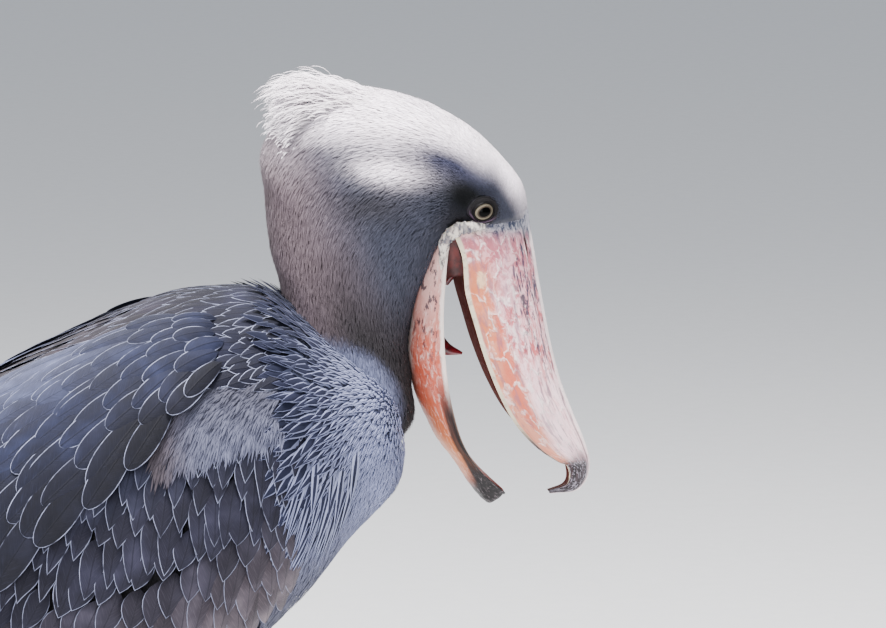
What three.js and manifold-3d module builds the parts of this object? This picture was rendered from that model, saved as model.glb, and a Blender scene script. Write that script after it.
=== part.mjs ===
// A life-size shoebill, still, standing on both feet with its head bowed and its bill open.
// Millimetres, +Z up, +X the way the bird faces, +Y its left. The floor is z = 0.

import * as THREE from "three";
import { mergeVertices } from "three/addons/utils/BufferGeometryUtils.js";
import Module from "manifold-3d";

const wasm = await Module();
wasm.setup();

const GAP = 0.3; // left between pieces that touch
const LAYER = 1.5; // from one feather to the next that lies over it
const RIDGE = 0.25; // how far a feather's middle stands up, as a share of its thickness
const RISE = 0.6; // power of the way along a feather that its height over the skin follows
const FLOOR_CUT = 400; // half side of the block that trims the soles flat

// A station of a body form: the top and bottom of one section in side view, [x, z], and half its width.
const TORSO = [
  { top: [-372, 512], bottom: [-362, 480], half: 26 },
  { top: [-300, 561], bottom: [-285, 458], half: 58 },
  { top: [-200, 626], bottom: [-180, 438], half: 90 },
  { top: [-100, 685], bottom: [-80, 428], half: 112 },
  { top: [0, 737], bottom: [10, 432], half: 122 },
  { top: [60, 748], bottom: [70, 455], half: 122 },
  { top: [105, 743], bottom: [121, 501], half: 112 },
  { top: [145, 716], bottom: [158, 545], half: 92 },
  { top: [179, 691], bottom: [195, 585], half: 65 },
  { top: [198, 664], bottom: [206, 617], half: 36 },
];
// The neck and head are one form: top runs up the nape and over the crown, bottom up the throat to the gape.
const NECK_HEAD = [
  { top: [93, 700], bottom: [184, 607], half: 52 },
  { top: [106, 742], bottom: [210, 640], half: 54 },
  { top: [97.5, 785], bottom: [209.5, 674], half: 56 },
  { top: [93.5, 826], bottom: [207.5, 702], half: 60 },
  { top: [93, 860], bottom: [210, 722], half: 64 },
  { top: [112, 892], bottom: [216, 741], half: 67 },
  { top: [145, 910], bottom: [224, 759], half: 68 },
  { top: [185, 907.5], bottom: [231, 777], half: 66 },
  { top: [226.5, 895], bottom: [236, 789], half: 62 },
  { top: [259, 876.5], bottom: [238.5, 794.5], half: 57 },
  { top: [283, 854], bottom: [239.5, 797], half: 53 },
  { top: [300, 831], bottom: [240, 798], half: 49.5 },
  { top: [305.5, 806], bottom: [240, 798.5], half: 46.5 },
];
const HEAD_STARTS = 0.335; // share of the neck and head where the head begins
// Swellings and hollows on the sides of the head, in side view, and how far each stands out.
const HEAD_RELIEF = [
  { x: 197, z: 811, reach: 46, out: 9 },
  { x: 243, z: 849, reach: 24, out: -7 },
  { x: 255, z: 812, reach: 17, out: -4 },
  { x: 272, z: 842, reach: 12, out: 3 },
];
// The upper bill: top is the culmen, bottom the cutting edge. The last three are the hooked nail.
const UPPER_BILL = [
  { top: [306, 805], bottom: [240, 797.5], half: 46 },
  { top: [311, 777], bottom: [247.5, 777], half: 47 },
  { top: [315, 753], bottom: [250, 749], half: 48.5 },
  { top: [320, 725], bottom: [257, 723], half: 50 },
  { top: [326, 695.5], bottom: [265.5, 695], half: 50 },
  { top: [333.5, 668], bottom: [277, 666], half: 48 },
  { top: [342, 642], bottom: [291, 640.5], half: 43 },
  { top: [349, 623], bottom: [309, 620], half: 35 },
  { top: [353.5, 607], bottom: [326.5, 607], half: 24 },
  { top: [354, 597], bottom: [335, 602], half: 14 },
  { top: [350.5, 587.5], bottom: [336.8, 594], half: 9.5 },
  { top: [341, 580.5], bottom: [333, 586], half: 6 },
  { top: [326, 578.5], bottom: [324, 582], half: 2 },
];
// The lower bill: top is the cutting edge, bottom the keel.
const LOWER_BILL = [
  { top: [237.5, 784], bottom: [219, 788], half: 41 },
  { top: [235.2, 764], bottom: [211.5, 760], half: 42.5 },
  { top: [233, 729], bottom: [208.5, 729], half: 44 },
  { top: [234.5, 694], bottom: [206.5, 697], half: 43.5 },
  { top: [239, 661], bottom: [212.5, 667], half: 40.5 },
  { top: [249, 626], bottom: [227, 632], half: 34 },
  { top: [263, 602.5], bottom: [243.5, 608], half: 25.5 },
  { top: [276.5, 588.5], bottom: [257.5, 587], half: 17 },
  { top: [286.5, 579.5], bottom: [272.5, 570], half: 9 },
];
// The surface that the folded wings lie on, in upright sections from the wrist back to the wing tips.
const WING_FRONT = 130;
const WING_STEP = 103;
const WING_HULL = [
  { high: 722, low: 520, half: 108 },
  { high: 741, low: 405, half: 140 },
  { high: 700, low: 374, half: 146 },
  { high: 645, low: 356, half: 134 },
  { high: 591, low: 354, half: 112 },
  { high: 540, low: 364, half: 88 },
  { high: 495, low: 378, half: 66 },
  { high: 452, low: 393, half: 44 },
].map(({ high, low, half }, i) => {
  const x = WING_FRONT - WING_STEP * i;
  return { top: [x, high], bottom: [x, low], half };
});
// Edges of each tier of the wing as [x, turn]: turn runs round the wing's section, 0 at the back's
// middle line, 0.5 at the widest place and 1 below. Each tier has a core from lift down to under,
// split into cells along and across.
const SCAPULARS = {
  upper: [[110, 0.085], [0, 0.052], [-120, 0.05], [-230, 0.062], [-318, 0.09]],
  lower: [[106, 0.2], [30, 0.22], [-50, 0.34], [-180, 0.36], [-310, 0.32]],
  lift: 7,
  under: -34,
  eased: 70, // the front of the tier comes down to the body over this length
  cells: [6, 4],
};
const COVERTS = {
  upper: [[108, 0.4], [40, 0.34], [-50, 0.362], [-192, 0.385]],
  lower: [[106, 0.66], [40, 0.66], [-60, 0.66], [-192, 0.64]],
  lift: -3,
  under: -20,
  cells: [5, 4],
};
const SECONDARIES = {
  upper: [[-192.8, 0.39], [-215, 0.385], [-236, 0.38]],
  lower: [[-192.8, 0.66], [-215, 0.67], [-236, 0.675]],
  lift: -4,
  under: -11,
  cells: [1, 4],
};
const PRIMARIES = {
  upper: [[0, 0.712], [-60, 0.72], [-130, 0.71], [-205, 0.695]],
  lower: [[-4, 0.745], [-60, 0.765], [-130, 0.765], [-205, 0.75]],
  lift: -12,
  under: -24,
  cells: [4, 1],
};
// Feathers: half is half the width, rise how far the tip stands off its tier, roll the lift of one edge.
const FEATHERS = {
  scapular: { half: 24, length: 112, rise: 5.2, sunk: 3.2, thick: 0.9 },
  covert: { half: 24, length: 92, rise: 5, sunk: 4.4, thick: 0.9 },
  secondary: { half: 17, thick: 0.9, roll: 0.14 },
  primary: { half: 16, thick: 1, roll: 0 },
  rectrix: { half: 13, thick: 1 },
  crest: { half: 6.5, thick: 1.1 },
  plume: { half: 7.5, rise: 8, sunk: 4, thick: 0.9 },
};
const SCAPULAR_ROWS = { first: 84, step: 72, count: 6, turnStep: 0.1, steep: [0.2, 0.85] };
const COVERT_ROWS = { first: 90, step: 47, count: 6, rows: 3, turnStep: 0.105, steep: [1.42, 0.62] };
// Outlines as [share of the length, share of the half width].
const ROUND_TIP = [[0, 0.28], [0.4, 0.9], [0.82, 1], [1, 0.34]];
const LONG_TIP = [[0, 0.55], [0.45, 1], [0.85, 0.9], [1, 0.25]];
const POINTED_TIP = [[0, 0.4], [0.5, 1], [1, 0.12]];
const TAIL_OUTLINE = [[0, 0.5], [0.84, 1], [1, 0.5]];
// Flight feathers from the first, on top, to the last: roots and tips as [x, turn].
const SECONDARY_ROW = {
  roots: [[-224, 0.41], [-224, 0.65]],
  tips: [[-484, 0.4], [-352, 0.72]],
  count: 7,
  lift: -7,
  layer: 0,
};
const PRIMARY_ROW = {
  roots: [[-190, 0.71], [-190, 0.735]],
  tips: [[-592, 0.36], [-505, 0.6]],
  count: 6,
  lift: -13,
  layer: LAYER,
};

// The bill's section: powers that square its back and sides, and the width of its ridge, as a share.
const BILL_SECTION = { back: 0.75, side: 0.92, ridge: 0.14 };
// Nostril slits beside the ridge: where they lie, their half sizes and how far they lean, in degrees.
const NOSTRIL = { x: 303.5, y: 16.5, z: 782, size: [2.2, 3.5, 9], lean: -20 };
// Flesh in the mouth as rods along paths, sizes giving the half width and half thickness.
const LINING = {
  path: [[246, 0, 790], [245, 0, 770], [236, 0, 752]],
  sizes: [[36, 12], [34, 8], [24, 5]],
};
const TONGUE = {
  path: [[233, 0, 750], [227, 0, 732], [228, 0, 713], [237, 0, 698], [252.5, 0, 692.5]],
  sizes: [[13, 4], [14, 4.5], [11, 5.5], [7, 6], [1.5, 1.2]],
};
const EYE = { x: 264, z: 814.5, y: 41.5, radius: 10 };
const LID = { radius: 9.3, thick: 2.3, out: 4.5 }; // a ring round each eye, and how far out it stands
const LEG = {
  hip: [0, 58, 560],
  knee: [12, 64, 470],
  cuff: [-20, 72, 352], // where the feathers end
  ankle: [-45, 75, 256],
  foot: [0, 78, 17],
};
// Toes, by the angle that each points away from straight ahead, outwards positive, in degrees.
const TOES = {
  middle: { angle: 6, length: 150, radius: 8 },
  inner: { angle: -27, length: 108, radius: 7.2 },
  outer: { angle: 38, length: 118, radius: 7.2 },
  hind: { angle: 172, length: 66, radius: 6.8 },
};
const CLAW_LENGTH = 24;
const HEEL = { radius: 15, z: 13.5, stretch: [1.05, 1, 0.95] }; // the ball that the toes start from
// Half sizes of the legs across and along, from the top down.
const LEG_SIZES = {
  thigh: [[41, 66], [37, 48], [16, 18]],
  shin: [[9, 10], [8, 9], [11, 13.5]],
  tarsus: [[10.5, 12.5], [6.8, 7.6], [10, 10.5]],
};
// Rows of the crest: where on the neck and head they grow, how many, how long and how far they stand up.
const CREST = {
  rows: [
    { share: 0.505, count: 4, length: 60, lean: 0.6 },
    { share: 0.45, count: 4, length: 46, lean: 0.42 },
    { share: 0.395, count: 3, length: 34, lean: 0.26 },
  ],
  spread: 0.56,
  sunk: 4,
  droop: 0.12,
};
// Plumes of the lower breast on each side, placed by share of the torso's length and turn round it.
const PLUMES = { count: 3, front: 0.745, back: 0.06, turn: 0.49, sweep: -0.014, hang: 0.24 };
const TAIL = {
  root: [-366, 492],
  tip: [-604, 354],
  rootHalf: 24,
  tipHalf: 52,
  pairs: 6,
  layer: LAYER,
  camber: 9,
  core: 46,
};

// Materials, one to each kind of surface.
const paint = (color, roughness) =>
  new THREE.MeshStandardMaterial({ color, roughness, metalness: 0 });
const SLATE = paint(0x8d919e, 0.85);
const HEAD_GREY = paint(0xa7a4ac, 0.9);
const FLIGHT_GREY = paint(0x4a4d5c, 0.7);
const HORN = paint(0xd9a792, 0.45);
const FLESH = paint(0x6b2422, 0.4);
const IRIS = paint(0xb9ae8c, 0.15);
const LEG_GREY = paint(0x4d4a48, 0.6);
const CLAW_HORN = paint(0x2e2a28, 0.4);

// A smooth curve through the stations' values, read at a share 0 to 1 of the way.
function through(values) {
  const curve = new THREE.CatmullRomCurve3(
    values.map((v) => new THREE.Vector3(...v)),
    false,
    "catmullrom",
    0.5,
  );
  return (share) => curve.getPoint(THREE.MathUtils.clamp(share, 0, 1));
}

const signedPower = (value, power) => Math.sign(value) * Math.abs(value) ** power;

// The skin of a form given by stations. round is 1 for an ellipse and less for squarer sections, and
// relief swells or hollows the sides.
class Skin {
  constructor(stations, { round, relief = [] }) {
    this.top = through(stations.map((s) => [s.top[0], 0, s.top[1]]));
    this.bottom = through(stations.map((s) => [s.bottom[0], 0, s.bottom[1]]));
    this.half = through(stations.map((s) => [s.half, 0, 0]));
    Object.assign(this, { round, relief, outward: 1 });
    this.outward = Math.sign(this.normal(0.5, 0).dot(this.top(0.5).sub(this.bottom(0.5))));
  }

  // The point at share u of the length and angle v round the section, which runs from its top.
  bare(u, v) {
    const across = signedPower(Math.sin(v), this.round);
    const up = signedPower(Math.cos(v), this.round);
    const p = this.bottom(u).lerp(this.top(u), (1 + up) / 2);
    p.y = this.half(u).x * across;
    for (const { x, z, reach, out } of this.relief)
      p.y += across * out * Math.exp(-((p.x - x) ** 2 + (p.z - z) ** 2) / reach ** 2);
    return p;
  }

  normal(u, v) {
    const d = 1e-3;
    const u0 = Math.min(u, 1 - d);
    const along = this.bare(u0 + d, v).sub(this.bare(u0, v));
    const round = this.bare(u, v + d).sub(this.bare(u, v - d));
    return round.cross(along).normalize().multiplyScalar(this.outward);
  }

  at(u, v, lift = 0) {
    const p = this.bare(u, v);
    return lift ? p.addScaledVector(this.normal(u, v), lift) : p;
  }

  middle(u) {
    return this.top(u).add(this.bottom(u)).multiplyScalar(0.5);
  }

  // The closed solid from share u0 to u1, swollen by grow, also at its ends.
  solid(rings, sides, grow = 0, u0 = 0, u1 = 1) {
    const loops = [];
    const step = (u1 - u0) / rings;
    for (let i = 0; i <= rings; i++)
      loops.push(
        Array.from({ length: sides }, (_, j) =>
          this.at(u0 + step * i, (2 * Math.PI * j) / sides, grow),
        ),
      );
    const back = this.middle(u0).sub(this.middle(u0 + step)).setLength(grow);
    const ahead = this.middle(u1).sub(this.middle(u1 - step)).setLength(grow);
    loops[0].forEach((p) => p.add(back));
    loops[rings].forEach((p) => p.add(ahead));
    return tube(loops);
  }
}

const torsoSkin = new Skin(TORSO, { round: 0.9 });
const headSkin = new Skin(NECK_HEAD, { round: 0.88, relief: HEAD_RELIEF });
const wingSkin = new Skin(WING_HULL, { round: 0.78 });

// A seeded draw between -1 and 1.
let seed = 7;
function draw() {
  seed = (Math.imul(seed, 1664525) + 1013904223) >>> 0;
  return seed / 2 ** 31 - 1;
}

// A closed solid from vertices and triangles.
function solidOf(points, triangles) {
  const geometry = new THREE.BufferGeometry();
  geometry.setAttribute(
    "position",
    new THREE.Float32BufferAttribute(points.flatMap((p) => [p.x, p.y, p.z]), 3),
  );
  geometry.setIndex(triangles.flat());
  return fromGeometry(geometry);
}

function fromGeometry(geometry) {
  const plain = geometry.clone();
  plain.deleteAttribute("normal");
  plain.deleteAttribute("uv");
  const merged = mergeVertices(plain, 1e-4);
  const triVerts = new Uint32Array(merged.index.array);
  const vertProperties = merged.attributes.position.array;
  const made = new wasm.Manifold(new wasm.Mesh({ numProp: 3, vertProperties, triVerts }));
  if (made.volume() > 0) return made;
  triVerts.reverse();
  return new wasm.Manifold(new wasm.Mesh({ numProp: 3, vertProperties, triVerts }));
}

// A solid skinned over loops of points, each end closed by a fan to its middle.
function tube(loops) {
  const sides = loops[0].length;
  const points = loops.flat();
  const triangles = [];
  for (let i = 0; i + 1 < loops.length; i++)
    for (let j = 0; j < sides; j++) {
      const k = (j + 1) % sides;
      const a = i * sides + j;
      const b = i * sides + k;
      triangles.push([a, b, a + sides], [b, b + sides, a + sides]);
    }
  const cap = (loop, first, turned) => {
    const middle = points.length;
    const centre = new THREE.Vector3();
    loop.forEach((p) => centre.addScaledVector(p, 1 / sides));
    points.push(centre);
    for (let j = 0; j < sides; j++) {
      const edge = [first + j, first + ((j + 1) % sides)];
      triangles.push(turned ? [edge[1], edge[0], middle] : [...edge, middle]);
    }
  };
  cap(loops[0], 0, true);
  cap(loops[loops.length - 1], (loops.length - 1) * sides, false);
  return solidOf(points, triangles);
}

// A thin solid between two grids of points, split into triangles alike on both faces.
function slab(outer, inner) {
  const rows = outer.length;
  const cols = outer[0].length;
  const points = [...outer.flat(), ...inner.flat()];
  const under = rows * cols;
  const triangles = [];
  const quad = (a, b, c, d) => triangles.push([a, b, c], [a, c, d]);
  for (let i = 0; i + 1 < rows; i++)
    for (let j = 0; j + 1 < cols; j++) {
      const a = i * cols + j;
      const [b, c, d] = [a + 1, a + cols + 1, a + cols];
      quad(a, b, c, d);
      triangles.push([under + a, under + c, under + b], [under + a, under + d, under + c]);
    }
  const rim = [];
  for (let j = 0; j < cols; j++) rim.push(j);
  for (let i = 1; i < rows; i++) rim.push(i * cols + cols - 1);
  for (let j = cols - 2; j >= 0; j--) rim.push((rows - 1) * cols + j);
  for (let i = rows - 2; i > 0; i--) rim.push(i * cols);
  rim.forEach((a, i) => {
    const b = rim[(i + 1) % rim.length];
    quad(b, a, under + a, under + b);
  });
  return solidOf(points, triangles);
}

// A thin feather. place(along, across, lift) gives a point of it, and outline its half width on the way.
function blade(place, outline, half, thick) {
  const face = (share) =>
    outline.map(([along, wide]) =>
      [-1, 0, 1].map((edge) =>
        place(along, edge * wide * half, (share * (1 - along / 2) + (edge ? 0 : RIDGE)) * thick),
      ),
    );
  return slab(face(1), face(0));
}

// A feather lying on a skin from its root to its tip, each [share of the length, turn]. It leaves its root
// at the height from, rises fast at first to the height to at its tip, and roll lifts its lower edge.
function skinFeather(skin, side, root, tip, { half, thick, outline, from, to, roll = 0 }) {
  const spot = (share, turn, lift) => skin.at(share, turn * Math.PI, lift);
  const reach = (a, b) => spot(...a, 0).distanceTo(spot(...b, 0));
  const place = (along, across, lift) => {
    const share = root[0] + (tip[0] - root[0]) * along;
    const turn = root[1] + (tip[1] - root[1]) * along;
    const perShare = reach([share, turn], [Math.max(share - 0.01, 0), turn]) / Math.min(share, 0.01);
    const perTurn = reach([share, turn], [share, turn + 0.01]) / 0.01;
    const ahead = new THREE.Vector2(
      (tip[0] - root[0]) * perShare,
      (tip[1] - root[1]) * perTurn,
    ).normalize();
    const p = spot(
      share - (ahead.y * across) / perShare,
      turn + (ahead.x * across) / perTurn,
      from + (to - from) * along ** RISE + roll * across + lift,
    );
    p.y *= side;
    return p;
  };
  return blade(place, outline, half, thick);
}

// A round or oval rod along a path. sizes holds the radii across and up the rod at even steps along it.
function rod(path, sizes, steps, sides, grow = 0) {
  const line = through(path);
  const size = through(sizes.map(([across, up]) => [across, up, 0]));
  const loops = [];
  for (let i = 0; i <= steps; i++) {
    const share = i / steps;
    const centre = line(share);
    const ahead = line(share + 0.01).sub(line(share - 0.01)).normalize();
    const side = new THREE.Vector3(0, 1, 0).cross(ahead);
    const across = side.lengthSq() > 0.02 ? ahead.clone().cross(side) : new THREE.Vector3(1, 0, 0);
    across.addScaledVector(ahead, -across.dot(ahead)).normalize();
    const up = ahead.clone().cross(across);
    const s = size(share);
    loops.push(
      Array.from({ length: sides }, (_, j) => {
        const turn = (2 * Math.PI * j) / sides;
        return centre
          .clone()
          .addScaledVector(across, (s.x + grow) * Math.cos(turn))
          .addScaledVector(up, (s.y + grow) * Math.sin(turn));
      }),
    );
  }
  return tube(loops);
}

const ball = (radius, [x, y, z], [sx, sy, sz] = [1, 1, 1], sides = 16) =>
  fromGeometry(
    new THREE.SphereGeometry(radius, sides, Math.round(sides * 0.6))
      .rotateX(Math.PI / 2)
      .scale(sx, sy, sz)
      .translate(x, y, z),
  );

const unite = (solids) => solids.reduce((whole, s) => whole.add(s));
const cut = (solid, ...tools) => tools.reduce((left, tool) => left.subtract(tool), solid);
// The largest closed surface of a solid, which leaves out scraps and sealed hollows.
const largest = (solid) =>
  solid.decompose().reduce((best, s) => (s.volume() > best.volume() ? s : best));

const bird = new THREE.Group();
const made = new Map();

function add(name, solid, material) {
  const whole = largest(solid);
  const mesh = whole.getMesh();
  const geometry = new THREE.BufferGeometry();
  geometry.setAttribute("position", new THREE.BufferAttribute(mesh.vertProperties, 3));
  geometry.setIndex(new THREE.BufferAttribute(mesh.triVerts, 1));
  geometry.computeVertexNormals();
  const node = new THREE.Mesh(geometry, material);
  node.name = name;
  bird.add(node);
  made.set(name, whole);
  return whole;
}

const SIDES = [
  ["left", 1],
  ["right", -1],
];

// Torso, neck and head.
const torso = (grow) => torsoSkin.solid(16, 20, grow);
const head = (grow) => headSkin.solid(13, 20, grow, HEAD_STARTS + 0.002, 1);
const neck = (grow) => headSkin.solid(5, 20, grow, 0, HEAD_STARTS);

function lid(side) {
  const ring = new THREE.TorusGeometry(LID.radius, LID.thick, 5, 12);
  ring.rotateX(Math.PI / 2).translate(EYE.x, side * (EYE.y + LID.out), EYE.z);
  return fromGeometry(ring);
}

const eyeball = (side, grow) => ball(EYE.radius + grow, [EYE.x, side * EYE.y, EYE.z], [1, 1, 1], 12);

// The crest: rows of narrow feathers that rise from the back of the crown and fan out backwards.
function crest() {
  const feathers = [];
  CREST.rows.forEach(({ share, count, length, lean }, row) => {
    for (let i = 0; i < count; i++) {
      const wide = (2 * i) / (count - 1) - 1 + 0.04 * draw();
      const turn = wide * CREST.spread;
      const root = headSkin.at(share, turn, -CREST.sunk);
      const out = headSkin.normal(share, turn);
      const back = new THREE.Vector3(-1, 0, 0).addScaledVector(out, out.x).normalize();
      const angle = lean + 0.12 * draw();
      const ahead = out.clone().multiplyScalar(Math.sin(angle));
      ahead.addScaledVector(back, Math.cos(angle)).normalize();
      const across = out.clone().cross(back).normalize();
      const up = ahead.clone().cross(across).normalize();
      up.multiplyScalar(Math.sign(up.dot(out)) || 1);
      const reach = length * (1 - 0.25 * wide * wide) * (1 + 0.12 * draw());
      const place = (along, side, lift) =>
        root
          .clone()
          .addScaledVector(ahead, reach * along)
          .addScaledVector(across, side)
          .addScaledVector(up, lift - CREST.droop * reach * along * along * (row ? 1 : 0.6));
      feathers.push(blade(place, POINTED_TIP, FEATHERS.crest.half, FEATHERS.crest.thick));
    }
  });
  return feathers;
}

function addHead() {
  const lids = SIDES.map(([, side]) => lid(side));
  const whole = unite([head(0), ...crest(), ...lids]);
  const sockets = SIDES.map(([, side]) => eyeball(side, GAP));
  add("head", cut(whole, ...sockets, neck(GAP)), HEAD_GREY);
  for (const [name, side] of SIDES) add(`eye_${name}`, eyeball(side, 0), IRIS);
}

// Long pointed plumes that hang from the lower breast.
function plumes() {
  const { half, thick, rise, sunk } = FEATHERS.plume;
  const feathers = [];
  for (const [, side] of SIDES)
    for (let i = 0; i < PLUMES.count; i++) {
      const t = i / (PLUMES.count - 1);
      const root = [PLUMES.front - PLUMES.back * t, PLUMES.turn];
      const tip = [root[0] - PLUMES.sweep, root[1] + PLUMES.hang + 0.006 * draw()];
      const height = LAYER * (i % 2);
      const shape = { half, thick, outline: POINTED_TIP, from: height - sunk, to: height + rise };
      feathers.push(skinFeather(torsoSkin, side, root, tip, shape));
    }
  return feathers;
}

add("torso", unite([torso(0), ...plumes()]), SLATE);
add("neck", cut(neck(0), torso(GAP)), HEAD_GREY);
addHead();

// The bill. A half section runs from the middle of its back to the cutting edge.
function billShell(stations, { rings, sides, arch, edge, ridge }) {
  const top = through(stations.map((s) => [s.top[0], 0, s.top[1]]));
  const bottom = through(stations.map((s) => [s.bottom[0], 0, s.bottom[1]]));
  const half = through(stations.map((s) => [s.half, 0, 0]));
  const face = (place) =>
    Array.from({ length: rings + 1 }, (_, i) =>
      Array.from({ length: sides + 1 }, (_, j) => place(i / rings, (2 * j) / sides - 1)),
    );
  const outer = face((u, w) => {
    const turn = (Math.abs(w) * Math.PI) / 2;
    const rise = Math.cos(turn) ** BILL_SECTION.back + ridge * Math.exp(-((w / BILL_SECTION.ridge) ** 2));
    const p = bottom(u).lerp(top(u), rise / (1 + ridge));
    p.y = Math.sign(w) * half(u).x * Math.sin(turn) ** BILL_SECTION.side;
    return p;
  });
  const inner = face((u, w) => {
    const depth = arch(u) * (1 - w * w);
    const p = bottom(u).lerp(top(u), depth);
    p.y = w * Math.max(half(u).x - edge, half(u).x * 0.5);
    return p;
  });
  return slab(outer, inner);
}

const flipped = (stations) =>
  stations.map(({ top, bottom, half }) => ({ top: bottom, bottom: top, half }));

function addBill() {
  const upper = billShell(UPPER_BILL, {
    rings: 18,
    sides: 12,
    arch: (u) => 0.34 * (1 - u ** 4),
    edge: 2,
    ridge: 0.05,
  });
  const nostrils = SIDES.map(([, side]) => {
    const slit = new THREE.SphereGeometry(1, 8, 5).scale(...NOSTRIL.size);
    slit.rotateY(THREE.MathUtils.degToRad(NOSTRIL.lean));
    return fromGeometry(slit.translate(NOSTRIL.x, side * NOSTRIL.y, NOSTRIL.z));
  });
  add("bill_upper", cut(upper, ...nostrils, head(GAP)), HORN);
  const lower = billShell(flipped(LOWER_BILL), {
    rings: 14,
    sides: 10,
    arch: (u) => 0.7 * (1 - u ** 6),
    edge: 2,
    ridge: 0.02,
  });
  add("bill_lower", cut(lower, head(GAP), neck(GAP)), HORN);
}
addBill();

// The flesh in the corner of the gape, and the tongue that lies in the lower bill.
function addMouth() {
  const clear = [head(GAP), neck(GAP), made.get("bill_upper"), made.get("bill_lower")];
  const lining = rod(LINING.path, LINING.sizes, 3, 9);
  const tongue = rod(TONGUE.path, TONGUE.sizes, 6, 6);
  add("mouth_lining", cut(lining, ...clear), FLESH);
  add("tongue", cut(tongue, ...clear, made.get("mouth_lining")), FLESH);
}
addMouth();

// Wings. A place on the folded wing is given as x and the turn round its section.
const wingShare = (x) => (WING_FRONT - x) / (WING_STEP * (WING_HULL.length - 1));

// How much lower a tier lies near its front edge.
const easing = ({ upper, lift, eased }, x) =>
  eased ? Math.max(0, 1 - (upper[0][0] - x) / eased) ** 2 * lift : 0;

// A solid patch of the wing between an upper and a lower edge, from lift down to under, with room round it.
function wingPatch(side, tier, room = 0) {
  const { upper, lower, lift, under } = tier;
  const [rows, cols] = tier.cells;
  const edge = (points, widen) =>
    through(points.map(([x, turn], i) => [x + (i ? -room : room), turn + widen, 0]));
  const [from, to] = [edge(upper, -room / 100), edge(lower, room / 100)];
  const face = (at) =>
    Array.from({ length: rows + 1 }, (_, i) =>
      Array.from({ length: cols + 1 }, (_, j) => {
        const p = from(i / rows).lerp(to(i / rows), j / cols);
        const lowered = at > 0 ? easing(tier, p.x) : 0;
        const q = wingSkin.at(wingShare(p.x), p.y * Math.PI, at - lowered);
        q.y *= side;
        return q;
      }),
    );
  return slab(face(lift + room), face(under - room));
}

const wingFeather = (side, [x0, turn0], [x1, turn1], shape) =>
  skinFeather(wingSkin, side, [wingShare(x0), turn0], [wingShare(x1), turn1], shape);

// The turn that lies some way below another at x, in millimetres along the section.
function turnBelow(x, turn, distance) {
  const share = wingShare(x);
  const steps = 8;
  let reached = turn;
  for (let i = 0; i < steps; i++) {
    const a = wingSkin.at(share, reached * Math.PI);
    const b = wingSkin.at(share, (reached + 0.01) * Math.PI);
    reached += (0.01 * distance) / steps / a.distanceTo(b);
  }
  return reached;
}

// Rows of short feathers, each row stepping back along the wing and half a feather down.
function scapularFeathers(side) {
  const { half, length, rise, sunk, thick } = FEATHERS.scapular;
  const { first, step, count, turnStep, steep } = SCAPULAR_ROWS;
  const [upperEdge, lowerEdge] = [SCAPULARS.upper, SCAPULARS.lower].map((edge) =>
    through(edge.map(([x, turn]) => [x, turn, 0])),
  );
  const feathers = [];
  for (let row = 0; row < count; row++) {
    const x0 = first - step * row;
    const t = row / count;
    const top = upperEdge(t).y + 0.018 + (row % 2) * turnStep * 0.5;
    const bottom = lowerEdge(t).y + 0.02;
    for (let q = 0, turn = top; turn < bottom; q++, turn += turnStep) {
      const angle = steep[0] + (steep[1] - steep[0]) * Math.min(1, turn / 0.34) ** 2 + 0.03 * draw();
      const reach = length * (1 + 0.05 * draw());
      const x1 = x0 - Math.cos(angle) * reach;
      const turn1 = turnBelow((x0 + x1) / 2, turn, Math.sin(angle) * reach);
      const from = SCAPULARS.lift - easing(SCAPULARS, x0) - sunk + LAYER * (q % 2);
      const to = SCAPULARS.lift + rise + LAYER * (q % 2);
      const shape = { half, thick, outline: ROUND_TIP, from, to };
      feathers.push(wingFeather(side, [x0, turn], [x1, turn1], shape));
    }
  }
  return feathers;
}

// Rows of covert feathers that hang down the side of the wing, each row below the last.
function covertFeathers(side) {
  const { half, length, rise, sunk, thick } = FEATHERS.covert;
  const { first, step, count, rows, turnStep, steep } = COVERT_ROWS;
  const upperEdge = through(COVERTS.upper.map(([x, turn]) => [x, turn, 0]));
  const feathers = [];
  for (let row = 0; row < rows; row++)
    for (let q = 0; q < count; q++) {
      const x0 = first - step * (q + 0.5 * (row % 2));
      const back = q / (count - 1);
      const start = upperEdge(back).y + turnStep * (row + 0.1);
      const angle = steep[0] + (steep[1] - steep[0]) * back ** 2 + 0.03 * draw();
      const reach = length * (1 + 0.05 * draw());
      const x1 = x0 - Math.cos(angle) * reach;
      const turn1 = turnBelow(x0, start, Math.sin(angle) * reach);
      const from = COVERTS.lift - sunk + LAYER * (q % 2);
      const shape = { half, thick, outline: ROUND_TIP, from, to: from + rise + sunk };
      feathers.push(wingFeather(side, [x0, start], [x1, turn1], shape));
    }
  return feathers;
}

// Long feathers side by side, from a line of roots to a line of tips.
function flightFeathers(side, { roots, tips, count, lift, layer }, { half, thick, roll }) {
  return Array.from({ length: count }, (_, i) => {
    const t = i / (count - 1);
    const mix = ([a, b]) => [a[0] + (b[0] - a[0]) * t, a[1] + (b[1] - a[1]) * t];
    const height = lift - layer * i;
    const shape = { half, thick, roll, outline: LONG_TIP, from: height, to: height };
    return wingFeather(side, mix(roots), mix(tips), shape);
  });
}

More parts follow.
